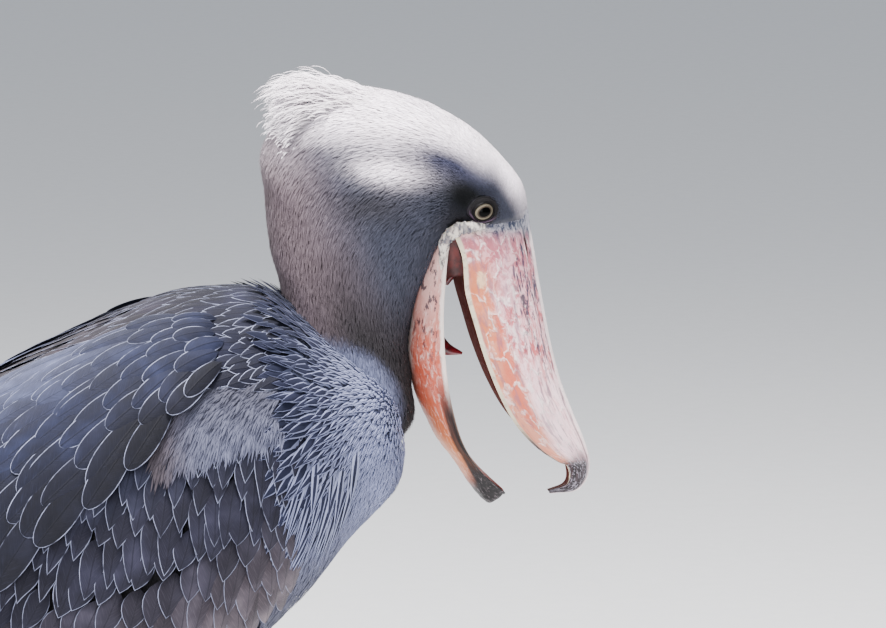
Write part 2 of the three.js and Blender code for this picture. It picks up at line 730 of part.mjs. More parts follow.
function addWing(name, side) {
  const body = [torso(GAP), neck(GAP)];
  const tier = (edges) => wingPatch(side, edges);
  const scapulars = unite([tier(SCAPULARS), ...scapularFeathers(side)]);
  const room = wingPatch(side, SCAPULARS, GAP);
  const coverts = cut(unite([tier(COVERTS), ...covertFeathers(side)]), room);
  const secondaries = unite([
    tier(SECONDARIES),
    ...flightFeathers(side, SECONDARY_ROW, FEATHERS.secondary),
  ]);
  const primaries = unite([tier(PRIMARIES), ...flightFeathers(side, PRIMARY_ROW, FEATHERS.primary)]);
  add(`wing_${name}_scapulars`, cut(scapulars, ...body), FLIGHT_GREY);
  add(`wing_${name}_coverts`, cut(coverts, ...body), FLIGHT_GREY);
  add(`wing_${name}_secondaries`, cut(secondaries, room), FLIGHT_GREY);
  add(`wing_${name}_primaries`, cut(primaries, ...body), FLIGHT_GREY);
}
for (const [name, side] of SIDES) addWing(name, side);

// The tail, a narrow folded fan of feathers that lie under one another from the middle pair outwards.
function addTail() {
  const { half, thick } = FEATHERS.rectrix;
  const [rootX, rootZ] = TAIL.root;
  const slope = new THREE.Vector3(TAIL.tip[0] - rootX, 0, TAIL.tip[1] - rootZ);
  const length = slope.length();
  slope.normalize();
  const up = new THREE.Vector3(0, 1, 0).cross(slope).normalize();
  up.multiplyScalar(Math.sign(up.z));
  const spot = (along, across, lift) =>
    new THREE.Vector3(rootX, 0, rootZ)
      .addScaledVector(slope, along)
      .addScaledVector(up, lift - TAIL.camber * (across / TAIL.tipHalf) ** 2)
      .setY(across);
  const feathers = [];
  for (const [, side] of SIDES)
    for (let i = 0; i < TAIL.pairs; i++) {
      const t = i / (TAIL.pairs - 1);
      const root = half * 0.5 + GAP + (TAIL.rootHalf - half) * t;
      const tip = half + GAP + (TAIL.tipHalf - 2 * half) * t;
      const reach = length * (1 - 0.05 * t * t);
      const place = (along, across, lift) =>
        spot(reach * along, side * (root + (tip - root) * along + across), lift - TAIL.layer * i);
      feathers.push(blade(place, TAIL_OUTLINE, half, thick));
    }
  const core = rod(
    [spot(-14, 0, -3), spot(20, 0, -3), spot(TAIL.core, 0, -3)].map((p) => p.toArray()),
    [
      [25, 12],
      [24, 9],
      [18, 5],
    ],
    2,
    8,
  );
  add("tail", cut(unite([core, ...feathers]), torso(GAP)), FLIGHT_GREY);
}
addTail();

// Legs and feet.
const mirrored = ([x, y, z], side) => [x, y * side, z];
const floorBlock = fromGeometry(
  new THREE.BoxGeometry(2 * FLOOR_CUT, 2 * FLOOR_CUT, 100).translate(0, 0, -50),
);

function toePath({ angle, length, radius }, side) {
  const turn = THREE.MathUtils.degToRad(angle);
  const [x, y] = LEG.foot;
  const place = (share, z) => [
    x + Math.cos(turn) * length * share,
    side * (y + Math.sin(turn) * length * share),
    z,
  ];
  const low = radius - 0.7;
  return [place(0, radius + 5), place(0.3, low + 2.5), place(0.65, low), place(1, low - 0.8)];
}

const toe = (kind, side, grow) =>
  rod(
    toePath(kind, side),
    [1.1, 0.95, 0.95, 0.72].map((share) => [kind.radius * share, kind.radius * share]),
    4,
    7,
    grow,
  );

function claw({ angle, length, radius }, side, grow) {
  const turn = THREE.MathUtils.degToRad(angle);
  const [x, y] = LEG.foot;
  const place = (reach, z) => [
    x + Math.cos(turn) * reach,
    side * (y + Math.sin(turn) * reach),
    z,
  ];
  const tip = length + CLAW_LENGTH;
  return rod(
    [
      place(length - 6, radius - 1.5),
      place(length + 8, radius - 0.5),
      place(length + 17, radius - 2.5),
      place(tip, 1.1),
    ],
    [4.4, 3.8, 2.6, 0.8].map((r) => [r, r * 1.1]),
    4,
    5,
    grow,
  );
}

function addLeg(name, side) {
  const [hip, knee, cuff, ankle, foot] = ["hip", "knee", "cuff", "ankle", "foot"].map((k) =>
    mirrored(LEG[k], side),
  );
  const thigh = (grow) => rod([hip, knee, cuff], LEG_SIZES.thigh, 7, 12, grow);
  const shinPath = [cuff, ankle].map((p) => new THREE.Vector3(...p));
  const start = shinPath[0].clone().lerp(shinPath[1], -0.12).toArray();
  const middle = shinPath[0].clone().lerp(shinPath[1], 0.5).toArray();
  const shin = (grow) => rod([start, middle, ankle], LEG_SIZES.shin, 5, 9, grow);
  const waist = new THREE.Vector3(...ankle).lerp(new THREE.Vector3(...foot), 0.5).toArray();
  const tarsusBody = (grow) =>
    rod([ankle, waist, foot], LEG_SIZES.tarsus, 6, 9, grow).add(
      ball(HEEL.radius + grow, [foot[0], foot[1], HEEL.z], HEEL.stretch, 8),
    );
  const clear = [torso(GAP), wingPatch(side, PRIMARIES, 2 * GAP)];
  add(`thigh_${name}`, cut(thigh(0), ...clear), SLATE);
  add(`shin_${name}`, cut(shin(0), thigh(GAP)), LEG_GREY);
  add(`tarsus_${name}`, cut(tarsusBody(0), shin(GAP), floorBlock), LEG_GREY);
  const before = [tarsusBody(GAP), floorBlock];
  for (const [toeName, kind] of Object.entries(TOES)) {
    const solid = cut(toe(kind, side, 0), ...before);
    add(`toe_${name}_${toeName}`, solid, LEG_GREY);
    before.push(toe(kind, side, GAP));
    const nail = cut(claw(kind, side, 0), toe(kind, side, GAP), floorBlock);
    add(`claw_${name}_${toeName}`, nail, CLAW_HORN);
  }
}
for (const [name, side] of SIDES) addLeg(name, side);

// The origin is on the floor, below the middle of the whole bird.
const extent = new THREE.Box3().setFromObject(bird);
const centre = extent.getCenter(new THREE.Vector3());
bird.position.set(-centre.x, -centre.y, -extent.min.z);

export default bird;
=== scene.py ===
"""A life-size shoebill, head bowed and bill open, finished around its packed solids.

Everything is worked out in metres in the bird's own frame: +X the way it faces, +Y its left, +Z up. The
body forms repeat the solids' stations, and SHIFT carries them into the shared frame.
"""

import math
from types import SimpleNamespace

import bpy
import numpy as np
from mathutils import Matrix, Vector


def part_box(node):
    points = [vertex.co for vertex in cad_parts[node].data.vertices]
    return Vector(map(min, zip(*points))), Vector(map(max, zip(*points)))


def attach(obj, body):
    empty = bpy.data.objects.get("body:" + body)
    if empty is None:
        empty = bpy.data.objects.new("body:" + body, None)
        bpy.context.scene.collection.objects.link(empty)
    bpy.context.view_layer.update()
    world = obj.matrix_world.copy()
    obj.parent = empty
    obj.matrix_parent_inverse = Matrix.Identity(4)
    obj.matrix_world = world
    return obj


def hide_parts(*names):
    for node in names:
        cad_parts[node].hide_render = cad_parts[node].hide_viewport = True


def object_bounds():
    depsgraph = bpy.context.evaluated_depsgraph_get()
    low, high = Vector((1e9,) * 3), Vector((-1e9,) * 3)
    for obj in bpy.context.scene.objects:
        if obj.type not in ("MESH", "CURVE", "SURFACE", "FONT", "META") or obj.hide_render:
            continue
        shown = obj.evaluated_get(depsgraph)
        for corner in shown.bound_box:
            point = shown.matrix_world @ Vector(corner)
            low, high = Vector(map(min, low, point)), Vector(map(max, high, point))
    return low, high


bl_info = {
    "name": "Shoebill model",
    "version": (1, 0, 0),
    "blender": (4, 5, 0),
    "location": "View3D > Sidebar > Shoebill",
    "description": "Skin, plumage, bill, eyes and legs of a life-size shoebill",
    "category": "Add Mesh",
}

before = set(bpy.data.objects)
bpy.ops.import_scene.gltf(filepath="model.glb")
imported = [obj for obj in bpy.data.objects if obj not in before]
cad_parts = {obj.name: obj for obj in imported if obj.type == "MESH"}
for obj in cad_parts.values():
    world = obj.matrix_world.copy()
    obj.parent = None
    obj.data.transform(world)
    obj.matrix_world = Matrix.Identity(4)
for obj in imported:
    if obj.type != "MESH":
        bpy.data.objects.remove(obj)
CAD_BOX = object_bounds()

MM = 0.001
# Stations of the body forms: top x, z, bottom x, z and half width, in millimetres.
TORSO = (
    (-372, 512, -362, 480, 26),
    (-300, 561, -285, 458, 58),
    (-200, 626, -180, 438, 90),
    (-100, 685, -80, 428, 112),
    (0, 737, 10, 432, 122),
    (60, 748, 70, 455, 122),
    (105, 743, 121, 501, 112),
    (145, 716, 158, 545, 92),
    (179, 691, 195, 585, 65),
    (198, 664, 206, 617, 36),
)
NECK_HEAD = (
    (93, 700, 184, 607, 52),
    (106, 742, 210, 640, 54),
    (97.5, 785, 209.5, 674, 56),
    (93.5, 826, 207.5, 702, 60),
    (93, 860, 210, 722, 64),
    (112, 892, 216, 741, 67),
    (145, 910, 224, 759, 68),
    (185, 907.5, 231, 777, 66),
    (226.5, 895, 236, 789, 62),
    (259, 876.5, 238.5, 794.5, 57),
    (283, 854, 239.5, 797, 53),
    (300, 831, 240, 798, 49.5),
    (305.5, 806, 240, 798.5, 46.5),
)
# Swellings and hollows of the head's sides: x, z, reach and how far each stands out.
HEAD_RELIEF = (
    (197, 811, 46, 9),
    (243, 849, 24, -7),
    (255, 812, 17, -4),
    (272, 842, 12, 3),
    (231, 816, 13, 2.6),
    (222, 838, 12, 2.0),
    (247, 824, 9, -1.6),
)
WING_FRONT = 130
WING_STEP = 103
WING = tuple(
    (WING_FRONT - WING_STEP * i, high, WING_FRONT - WING_STEP * i, low, half)
    for i, (high, low, half) in enumerate(
        (
            (722, 520, 108),
            (741, 405, 140),
            (700, 374, 146),
            (645, 356, 134),
            (591, 354, 112),
            (540, 364, 88),
            (495, 378, 66),
            (452, 393, 44),
        )
    )
)
UPPER_BILL = (
    (306, 805, 240, 797.5, 46),
    (311, 777, 247.5, 777, 47),
    (315, 753, 250, 749, 48.5),
    (320, 725, 257, 723, 50),
    (326, 695.5, 265.5, 695, 50),
    (333.5, 668, 277, 666, 48),
    (343.5, 642, 291, 640.5, 43),
    (351.5, 623, 309, 620, 35),
    (356.5, 607, 326.5, 607, 24),
    (357.3, 596.5, 336, 602, 14.5),
    (354, 585.5, 339, 592.5, 10),
    (344.5, 577.5, 336, 584, 6.6),
    (324.5, 576, 322.5, 579.5, 2),
)
LOWER_BILL = (
    (219, 788, 237.5, 784, 41),
    (211.5, 760, 235.2, 764, 42.5),
    (208.5, 729, 233, 729, 44),
    (206.5, 697, 234.5, 694, 43.5),
    (212.5, 667, 239, 661, 40.5),
    (227, 632, 249, 626, 34),
    (243.5, 608, 263, 602.5, 25.5),
    (257.5, 587, 276.5, 588.5, 17),
    (272.5, 570, 286.5, 579.5, 9),
)
# The upper bill's horn starts from a collar of skin, and the lower one ends in a rounded tip.
BILL_COLLAR = (303.4, 820, 239, 801.5, 43.5)
LOWER_TIP = (281, 572, 287, 577.5, 4)
# Flesh in the mouth as rods along paths, with half widths and half thicknesses.
LINING_PATH = ((246, 0, 790), (245, 0, 770), (236, 0, 752))
LINING_SIZES = ((36, 12), (34, 8), (24, 5))
TONGUE_PATH = ((233, 0, 750), (227, 0, 732), (228, 0, 713), (237, 0, 698), (252.5, 0, 692.5))
TONGUE_SIZES = ((13, 4), (14, 4.5), (11, 5.5), (7, 6), (1.5, 1.2))
GAPE_PATH = ((266, 45.5, 802), (254, 47.5, 801.5), (243, 47.5, 799.5), (235, 45.5, 792), (232.5, 42, 780),
             (232, 40, 764))
GAPE_SIZES = ((0.8, 2), (1.8, 4.5), (2.6, 5.5), (2.8, 5), (2.4, 3.6), (1, 1.5))
EYE = np.array([264, 41.5, 814.5]) * MM
EYE_RADIUS = 10 * MM
SLIT = 0.42
SIDES = (("left", 1), ("right", -1))
# The two steps that scatter points most evenly over a square.
SCATTER_STEPS = (0.7548776662, 0.5698402910)
# The widths of the patches on the unwrap: a small feather's, a body vane's, a wing and a flight feather's.
SMALL_PATCH, BODY_PATCH, WING_PATCH, FLIGHT_PATCH = 0.003, 0.01, 0.02, 0.05
FULL_TURN = 2 * math.pi
# The size of the cells in which the skin's parts are joined, in metres.
SKIN_CELL = 0.0034
# How far the floor reaches, and the camera: how wide it sees and how far away it stands, in metres, and how
# far it is turned forwards from the bird's right side and up, in degrees.
FLOOR_REACH = 40.0
VIEW_WIDTH, VIEW_AWAY, VIEW_TURN, VIEW_UP = 0.7177, 5, -6, 8


def eye_shift():
    """What carries the bird's own frame into the shared one, read from where the left eye is."""
    low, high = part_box("eye_left")
    return (np.array(low) + np.array(high)) / 2 - EYE


SHIFT = eye_shift()


def linear(red, green, blue):
    """A colour of 0 to 255 a channel, as the shader's linear values."""
    c = np.array([red, green, blue]) / 255
    return np.where(c <= 0.04045, c / 12.92, ((c + 0.055) / 1.055) ** 2.4)


def smooth(x, low, high):
    """0 below low, 1 above high and a smooth cubic between."""
    t = np.clip((x - low) / (high - low), 0, 1)
    return t * t * (3 - 2 * t)


def blend(a, b, t):
    """From a to b by the share t, which gains an axis where a and b are colours or points."""
    t = np.asarray(t)
    if np.ndim(a) > 0 and t.ndim > 0:
        t = t[..., None]
    return a + (b - a) * t


def signed_power(value, power):
    return np.sign(value) * np.abs(value) ** power


def bell(x, middle, reach):
    """1 at the middle, falling away on both sides as exp(-(distance / reach)^2)."""
    return np.exp(-(((x - middle) / reach) ** 2))


def in_mm(points):
    """The three coordinates of points, in millimetres."""
    return tuple(points[..., k] / MM for k in range(3))


def column(value, count):
    """A value for each feather, or one for all, as a column."""
    return np.broadcast_to(value, (count,))[:, None]


def scattered(count):
    """Two rows of shares from 0 to 1 that fill a square evenly and in no order."""
    return tuple((0.5 + np.arange(count) * step) % 1 for step in SCATTER_STEPS)


def round_turn(count):
    """Even angles once round, without the last, which is the first again."""
    return np.linspace(0, FULL_TURN, count, endpoint=False)


def through(rows, share):
    """Catmull-Rom curve through rows of values at even steps, read at shares 0 to 1 of the way."""
    rows = np.asarray(rows, float)
    pad = np.vstack([2 * rows[0] - rows[1], rows, 2 * rows[-1] - rows[-2]])
    x = np.clip(share, 0, 1) * (len(rows) - 1)
    i = np.minimum(x.astype(int), len(rows) - 2)
    t = (x - i)[..., None]
    a, b, c, d = (pad[i + k] for k in range(4))
    cubic = 3 * b - a - 3 * c + d
    return 0.5 * (2 * b + (c - a) * t + (2 * a - 5 * b + 4 * c - d) * t**2 + cubic * t**3)


def unit(v):
    return v / np.maximum(np.linalg.norm(v, axis=-1, keepdims=True), 1e-12)


class Form:
    """A body form. At share u of its length and angle v round it, 0 above and pi below, a point is
    bottom + (top - bottom) * (1 + cos(v)^round) / 2 in side view and half * sin(v)^round sideways."""

    def __init__(self, stations, roundness, relief=()):
        self.rows = np.array(stations, float) * MM
        self.round = roundness
        self.relief = relief
        u, v = np.array(0.5), np.array(0.0)
        row = through(self.rows, u)
        upwards = np.array([row[0] - row[2], 0, row[1] - row[3]])
        self.outward = 1.0
        self.outward = float(np.sign(self.normal(u, v) @ upwards))

    def bare(self, u, v):
        row = through(self.rows, u)
        across = signed_power(np.sin(v), self.round)
        height = (1 + signed_power(np.cos(v), self.round)) / 2
        x = row[..., 2] + (row[..., 0] - row[..., 2]) * height
        z = row[..., 3] + (row[..., 1] - row[..., 3]) * height
        y = row[..., 4] * across
        for x0, z0, reach, out in self.relief:
            far = ((x - x0 * MM) ** 2 + (z - z0 * MM) ** 2) / (reach * MM) ** 2
            y = y + across * out * MM * np.exp(-far)
        return np.stack([x, y, z], -1)

    def slopes(self, u, v):
        """How the point moves along u and along v, by small steps."""
        d = 1e-3
        u0 = np.minimum(u, 1 - d)
        along = (self.bare(u0 + d, v) - self.bare(u0, v)) / d
        round_it = (self.bare(u, v + d) - self.bare(u, v - d)) / (2 * d)
        return along, round_it

    def normal(self, u, v):
        along, round_it = self.slopes(u, v)
        return unit(np.cross(round_it, along)) * self.outward

    def point(self, u, v, lift):
        return self.bare(u, v) + self.normal(u, v) * lift[..., None]


torso_form = Form(TORSO, 0.9)
head_form = Form(NECK_HEAD, 0.88, HEAD_RELIEF)
wing_form = Form(WING, 0.78)


def wing_share(x):
    """The share of the wing form's length at x metres."""
    return (WING_FRONT * MM - x) / (WING_STEP * MM * (len(WING) - 1))


def torso_share(x):
    """The share of the torso's length at x millimetres."""
    return np.interp(x, [row[0] for row in TORSO], np.linspace(0, 1, len(TORSO)))


def spread(form, count, u_range, spacing=None):
    """Even, unordered places on a form: scattered shares carried through the running sums of area over
    spacing squared, so that places lie closer where spacing(points) is smaller."""
    cells = (90, 120)
    u = np.linspace(*u_range, cells[0] + 1)
    v = np.linspace(-math.pi, math.pi, cells[1] + 1)
    mid_u, mid_v = np.meshgrid((u[1:] + u[:-1]) / 2, (v[1:] + v[:-1]) / 2, indexing="ij")
    along, round_it = form.slopes(mid_u, mid_v)
    weight = np.linalg.norm(np.cross(along, round_it), axis=-1)
    if spacing is not None:
        weight = weight / spacing(form.bare(mid_u, mid_v)) ** 2
    rows = np.concatenate([[0], np.cumsum(weight.sum(1))])
    a, b = scattered(count)
    x = np.interp(a, rows / rows[-1], np.arange(cells[0] + 1))
    i = np.minimum(x.astype(int), cells[0] - 1)
    sums = np.cumsum(weight, axis=1)
    sums = np.hstack([np.zeros((cells[0], 1)), sums]) / np.maximum(sums[:, -1:], 1e-12)
    j = np.clip((sums[i] <= b[:, None]).sum(1) - 1, 0, cells[1] - 1)
    low, high = sums[i, j], sums[i, j + 1]
    y = j + (b - low) / np.maximum(high - low, 1e-12)
    return np.interp(x, np.arange(cells[0] + 1), u), np.interp(y, np.arange(cells[1] + 1), v)


def feather_plan(rows, cols):
    """The points and faces of a closed feather: a root, rows - 1 rows of cols points with one point
    under each row's middle, and a tip. Gives along, across, under and the triangles."""
    along, across, under = [0.0], [0.0], [0.0]
    edge = np.linspace(-1, 1, cols)
    for r in range(1, rows):
        along += [r / rows] * (cols + 1)
        across += [*edge, 0.0]
        under += [0.0] * cols + [1.0]
    along.append(1.0)
    across.append(0.0)
    under.append(0.0)
    row = lambda r: 1 + (r - 1) * (cols + 1)
    tip = len(along) - 1
    faces = []
    for r in range(1, rows - 1):
        a, d = row(r), row(r + 1)
        for j in range(cols - 1):
            faces += [(a + j, d + j, d + j + 1), (a + j, d + j + 1, a + j + 1)]
        for left, right in ((0, cols), (cols, cols - 1)):
            faces += [(a + left, a + right, d + right), (a + left, d + right, d + left)]
    first, last = row(1), row(rows - 1)
    for j in range(cols - 1):
        faces += [(0, first + j, first + j + 1), (tip, last + j + 1, last + j)]
    faces += [(0, first + cols, first), (0, first + cols - 1, first + cols)]
    faces += [(tip, last, last + cols), (tip, last + cols, last + cols - 1)]
    return np.array(along), np.array(across), np.array(under), np.array(faces)


def steps_over(form, u, v, direction):
    """How far u and v move for a step of one metre over the form in a direction."""
    along_u, along_v = form.slopes(u, v)
    uu, uv, vv = ((a * b).sum(-1) for a, b in ((along_u, along_u), (along_u, along_v), (along_v, along_v)))
    du = (direction * along_u).sum(-1)
    dv = (direction * along_v).sum(-1)
    scale = np.maximum(uu * vv - uv**2, 1e-12)
    return (vv * du - uv * dv) / scale, (uu * dv - uv * du) / scale


def over_form(heading, out):
    """The part of a heading that lies along a surface, which faces out."""
    return unit(heading - (heading * out).sum(-1, keepdims=True) * out)


def pointed(t, widest=0.45, power=1.0):
    """Half width of a feather with a pointed tip, from 0 at the root to 1 at its widest."""
    rise = np.sin(np.clip(t / widest, 0, 1) * math.pi / 2) ** 0.6
    fall = np.cos(np.clip((t - widest) / (1 - widest), 0, 1) * math.pi / 2) ** power
    return rise * fall


def rounded(t, widest, blunt):
    """Half width of a feather with a round tip: it swells from the root and ends in a superellipse."""
    rise = 0.35 + 0.65 * np.sin(np.clip(t / widest, 0, 1) * math.pi / 2)
    end = np.clip((t - widest) / (1 - widest), 0, 1)
    return rise * (1 - end**blunt) ** (1 / blunt) * np.minimum(1, t * 12)


class Feathers:
    """Many feathers of one plan. Each keeps its points, its place on the unwrap, its colours and, for its
    pattern, each point's distances in millimetres along the shaft, off it and in from the rim."""

    def __init__(self, rows, cols, outline, even=1.0):
        self.along, self.across, self.under, self.faces = feather_plan(rows, cols)
        self.along = 1 - (1 - self.along) ** even
        self.width = outline(self.along)
        self.points, self.patches, self.coats, self.vanes, self.normals, self.flips = ([] for _ in range(6))

    def keep(self, points, length, half, place, coat, patch, normals=None, flip=False):
        n, m = points.shape[:2]
        length, half = column(length, n), column(half, n)
        down = self.along * length
        off = self.across * self.width * half
        rim = np.minimum(half * self.width - np.abs(off), length - down)
        size = column(patch, n) / 2
        local = np.stack([self.across * size, (2 * self.along - 1) * size], -1)
        self.points.append(points)
        self.patches.append(place[:, None] + local)
        shade = np.ones((m, 4))
        # Painted shade: each feather darker at its root, shaded by the feathers over it, lighter to its tip.
        shade[:, :3] = (0.84 + 0.26 * self.along)[:, None]
        shade[:, 3] = smooth(self.along, 0.1, 0.5)
        self.coats.append(coat[:, None] * shade)
        self.normals.append(normals)
        self.vanes.append(np.stack([down, off, rim], -1) / MM)
        self.flips.append(np.full(n, flip))

    def lift(self, shape, climb, count):
        """Heights over the form: base + rise * climb + cup * width * (1 - across^2) + roll * width * across -
        bend * along^2, less the thickness under the middle."""
        part = lambda key: column(shape.get(key, 0), count)
        return (
            part("base")
            + part("rise") * climb
            - part("bend") * self.along**2
            + part("cup") * self.width * (1 - self.across**2)
            + part("roll") * self.across * self.width
            - part("thick") * self.under
        )

    def straight(self, form, u, v, heading, length, half, shape, coat, side=1):
        """Short feathers: point = root + ahead * length * along + aside * half * width * across + out * lift,
        which climbs by 1 - (1 - along)^3."""
        out = form.normal(u, v)
        ahead = over_form(heading, out)
        aside = np.cross(out, ahead)
        n = len(u)
        points = (
            form.bare(u, v)[:, None]
            + ahead[:, None] * (column(length, n) * self.along)[..., None]
            + aside[:, None] * (column(half, n) * self.width * self.across)[..., None]
            + out[:, None] * self.lift(shape, 1 - (1 - self.along) ** 3, n)[..., None]
        )
        normals = out[:, None] + aside[:, None] * (0.5 * self.across)[..., None]
        normals = normals * np.where(self.under > 0, -1.0, 1.0)[:, None]
        points[..., 1] *= side
        normals[..., 1] *= side
        place = np.stack([v / FULL_TURN + 0.5, u], -1)
        self.keep(points, length, half, place, coat, SMALL_PATCH, unit(normals), side < 0)

    def laid(self, form, u, v, heading, length, half, shape, coat, patch, side):
        """Long feathers that follow the form from a root at (u, v), length along the heading."""
        steps = steps_over(form, u, v, over_form(heading, form.normal(u, v)))
        starts = np.stack([u, v], -1)
        stops = starts + np.stack(steps, -1) * column(length, len(u))
        place = np.stack([v / math.pi, u], -1)
        self.spanned(form, starts, stops, half, shape, coat, patch, place, side)

    def spanned(self, form, starts, stops, half, shape, coat, patch, place, side):
        """Long feathers that follow the form between two places on it: at share t of the way, across * half *
        width aside, a point stands lift over the form, which climbs by t^0.6."""
        t = self.along[None]
        u = starts[:, :1] + (stops[:, :1] - starts[:, :1]) * t
        v = starts[:, 1:] + (stops[:, 1:] - starts[:, 1:]) * t
        along_u, along_v = form.slopes(u, v)
        ahead = along_u * (stops[:, :1] - starts[:, :1])[..., None]
        ahead = ahead + along_v * (stops[:, 1:] - starts[:, 1:])[..., None]
        length = np.linalg.norm(ahead, axis=-1).mean(1)
        aside = unit(np.cross(form.normal(u, v), ahead))
        du, dv = steps_over(form, u, v, aside)
        off = column(half, len(u)) * self.width * self.across
        points = form.point(u + du * off, v + dv * off, self.lift(shape, t**0.6, len(u)))
        points[..., 1] *= side
        self.keep(points, length, half, place, coat, patch, flip=side < 0)

    def build(self, name, material, slot, *nodes, soft=False):
        """One piece of all the feathers. Soft ones are shaded by the body's normals, not by their own."""
        points = np.concatenate(self.points)
        n, m = points.shape[:2]
        flips = np.concatenate(self.flips)
        faces = np.where(flips[:, None, None], self.faces[None, :, ::-1], self.faces[None])
        faces = faces + (np.arange(n) * m)[:, None, None]
        rim = np.tile((np.abs(self.across) > 0.999) | (np.isin(self.along, (0.0, 1.0))), n)
        made = mesh_object(
            name,
            points.reshape(-1, 3),
            faces.reshape(-1, 3),
            material,
            patches=np.concatenate(self.patches).reshape(-1, 2),
            attributes={
                "coat": np.concatenate(self.coats).reshape(-1, 4),
                "vane": np.concatenate(self.vanes).reshape(-1, 3),
            },
            sharp=None if soft else rim,
        )
        if soft:
            made.data.normals_split_custom_set_from_vertices(np.concatenate(self.normals).reshape(-1, 3))
        finished(made, slot, *nodes)


def mesh_object(name, points, faces, material, patches=None, attributes=None, sharp=None):
    """A mesh of triangles or of four-sided faces, placed in the shared frame."""
    mesh = bpy.data.meshes.new(name)
    sides = faces.shape[1]
    mesh.vertices.add(len(points))
    mesh.vertices.foreach_set("co", (points + SHIFT).astype(np.float32).ravel())
    mesh.loops.add(faces.size)
    mesh.loops.foreach_set("vertex_index", faces.astype(np.int32).ravel())
    mesh.polygons.add(len(faces))
    mesh.polygons.foreach_set("loop_start", np.arange(0, faces.size, sides, dtype=np.int32))
    mesh.update(calc_edges=True)
    mesh.polygons.foreach_set("use_smooth", np.ones(len(faces), bool))
    for key, values in (attributes or {}).items():
        kind, field = {3: ("FLOAT_VECTOR", "vector"), 4: ("FLOAT_COLOR", "color")}[values.shape[-1]]
        layer = mesh.attributes.new(key, kind, "POINT")
        layer.data.foreach_set(field, values.astype(np.float32).ravel())
    if patches is not None:
        layer = mesh.uv_layers.new(name="OFBake")
        layer.data.foreach_set("uv", patches[faces.ravel()].astype(np.float32).ravel())
    if sharp is not None:
        pairs = np.zeros(len(mesh.edges) * 2, np.int32)
        mesh.edges.foreach_get("vertices", pairs)
        edge = mesh.attributes.new("sharp_edge", "BOOLEAN", "EDGE")
        edge.data.foreach_set("value", sharp[pairs].reshape(-1, 2).all(1))
    mesh.update()
    mesh.materials.append(material)
    made = bpy.data.objects.new(name, mesh)
    bpy.context.scene.collection.objects.link(made)
    return made


def grid_faces(rows, cols):
    """Four-sided faces over rows of cols points, each row joined round to its first point."""
    i, j = np.meshgrid(np.arange(rows - 1), np.arange(cols), indexing="ij")
    k = (j + 1) % cols
    return np.stack([i * cols + j, i * cols + k, (i + 1) * cols + k, (i + 1) * cols + j], -1).reshape(-1, 4)


def tube_mesh(loops):
    """Points and triangles of a closed tube over loops of points, each end closed by a fan to its middle."""
    rows, cols = loops.shape[:2]
    quads = grid_faces(rows, cols)
    body = np.concatenate([quads[:, [0, 1, 2]], quads[:, [0, 2, 3]]])
    j = np.arange(cols)
    k = (j + 1) % cols
    start, end = rows * cols, rows * cols + 1
    last = (rows - 1) * cols
    caps = np.concatenate(
        [
            np.stack([k, j, np.full(cols, start)], -1),
            np.stack([last + j, last + k, np.full(cols, end)], -1),
        ]
    )
    points = np.concatenate([loops.reshape(-1, 3), loops[:1].mean(1), loops[-1:].mean(1)])
    faces = np.concatenate([body, caps])
    a, b, c = (points[faces[:, q]] for q in range(3))
    if (np.cross(b - a, c - a) * (a + b + c - 3 * points.mean(0))).sum() < 0:
        faces = faces[:, ::-1]
    return points, faces


def rod_loops(path, sizes, steps, sides, swell=0.0):
    """Loops round a smooth path: centre(t) + across * a(t) cos(w) + up * b(t) sin(w)."""
    share = np.linspace(0, 1, steps + 1)
    line = lambda t: through(np.array(path) * MM, t)
    centre = line(share)
    ahead = unit(line(np.minimum(share + 0.01, 1)) - line(np.maximum(share - 0.01, 0)))
    side = np.cross([0.0, 1.0, 0.0], ahead)
    across = unit(np.cross(ahead, side))
    up = np.cross(ahead, across)
    size = through(np.array(sizes) * MM, share) + swell
    turn = round_turn(sides)
    return (
        centre[:, None]
        + across[:, None] * (size[:, None, :1] * np.cos(turn)[:, None])
        + up[:, None] * (size[:, None, 1:] * np.sin(turn)[:, None])
    )


def tube_piece(name, loops, material, slot, *nodes, attributes=None):
    """A closed tube over loops of points, as a finished piece."""
    finished(mesh_object(name, *tube_mesh(loops), material, attributes=attributes), slot, *nodes)


def swollen(loops, factor):
    """Loops of points moved out from their middles by a factor."""
    centre = loops.mean(1, keepdims=True)
    return centre + (loops - centre) * factor


class Socket:
    """A shader socket that can be written as a number in a sum: each operator adds its Math node."""

    def __init__(self, finish, socket):
        self.finish = finish
        self.socket = socket

    def math(self, operation, *values):
        return self.finish.node(
            "ShaderNodeMath", {"operation": operation}, dict(enumerate([self, *values]))
        )

    def __add__(self, other):
        return self.math("ADD", other)

    def __sub__(self, other):
        return self.math("SUBTRACT", other)

    def __mul__(self, other):
        return self.math("MULTIPLY", other)

    def __truediv__(self, other):
        return self.math("DIVIDE", other)

    def __pow__(self, other):
        return self.math("POWER", other)

    def __rsub__(self, other):
        return self.finish.node("ShaderNodeMath", {"operation": "SUBTRACT"}, {0: other, 1: self})

    __radd__ = __add__
    __rmul__ = __mul__

    def abs(self):
        return self.math("ABSOLUTE")

    def sin(self):
        return self.math("SINE")

    def over(self, low, high):
        """0 below low and 1 above high, with a smooth step between; low may be the larger."""
        inputs = {"Value": self, "From Min": low, "From Max": high}
        return self.finish.node("ShaderNodeMapRange", {"interpolation_type": "SMOOTHSTEP"}, inputs)


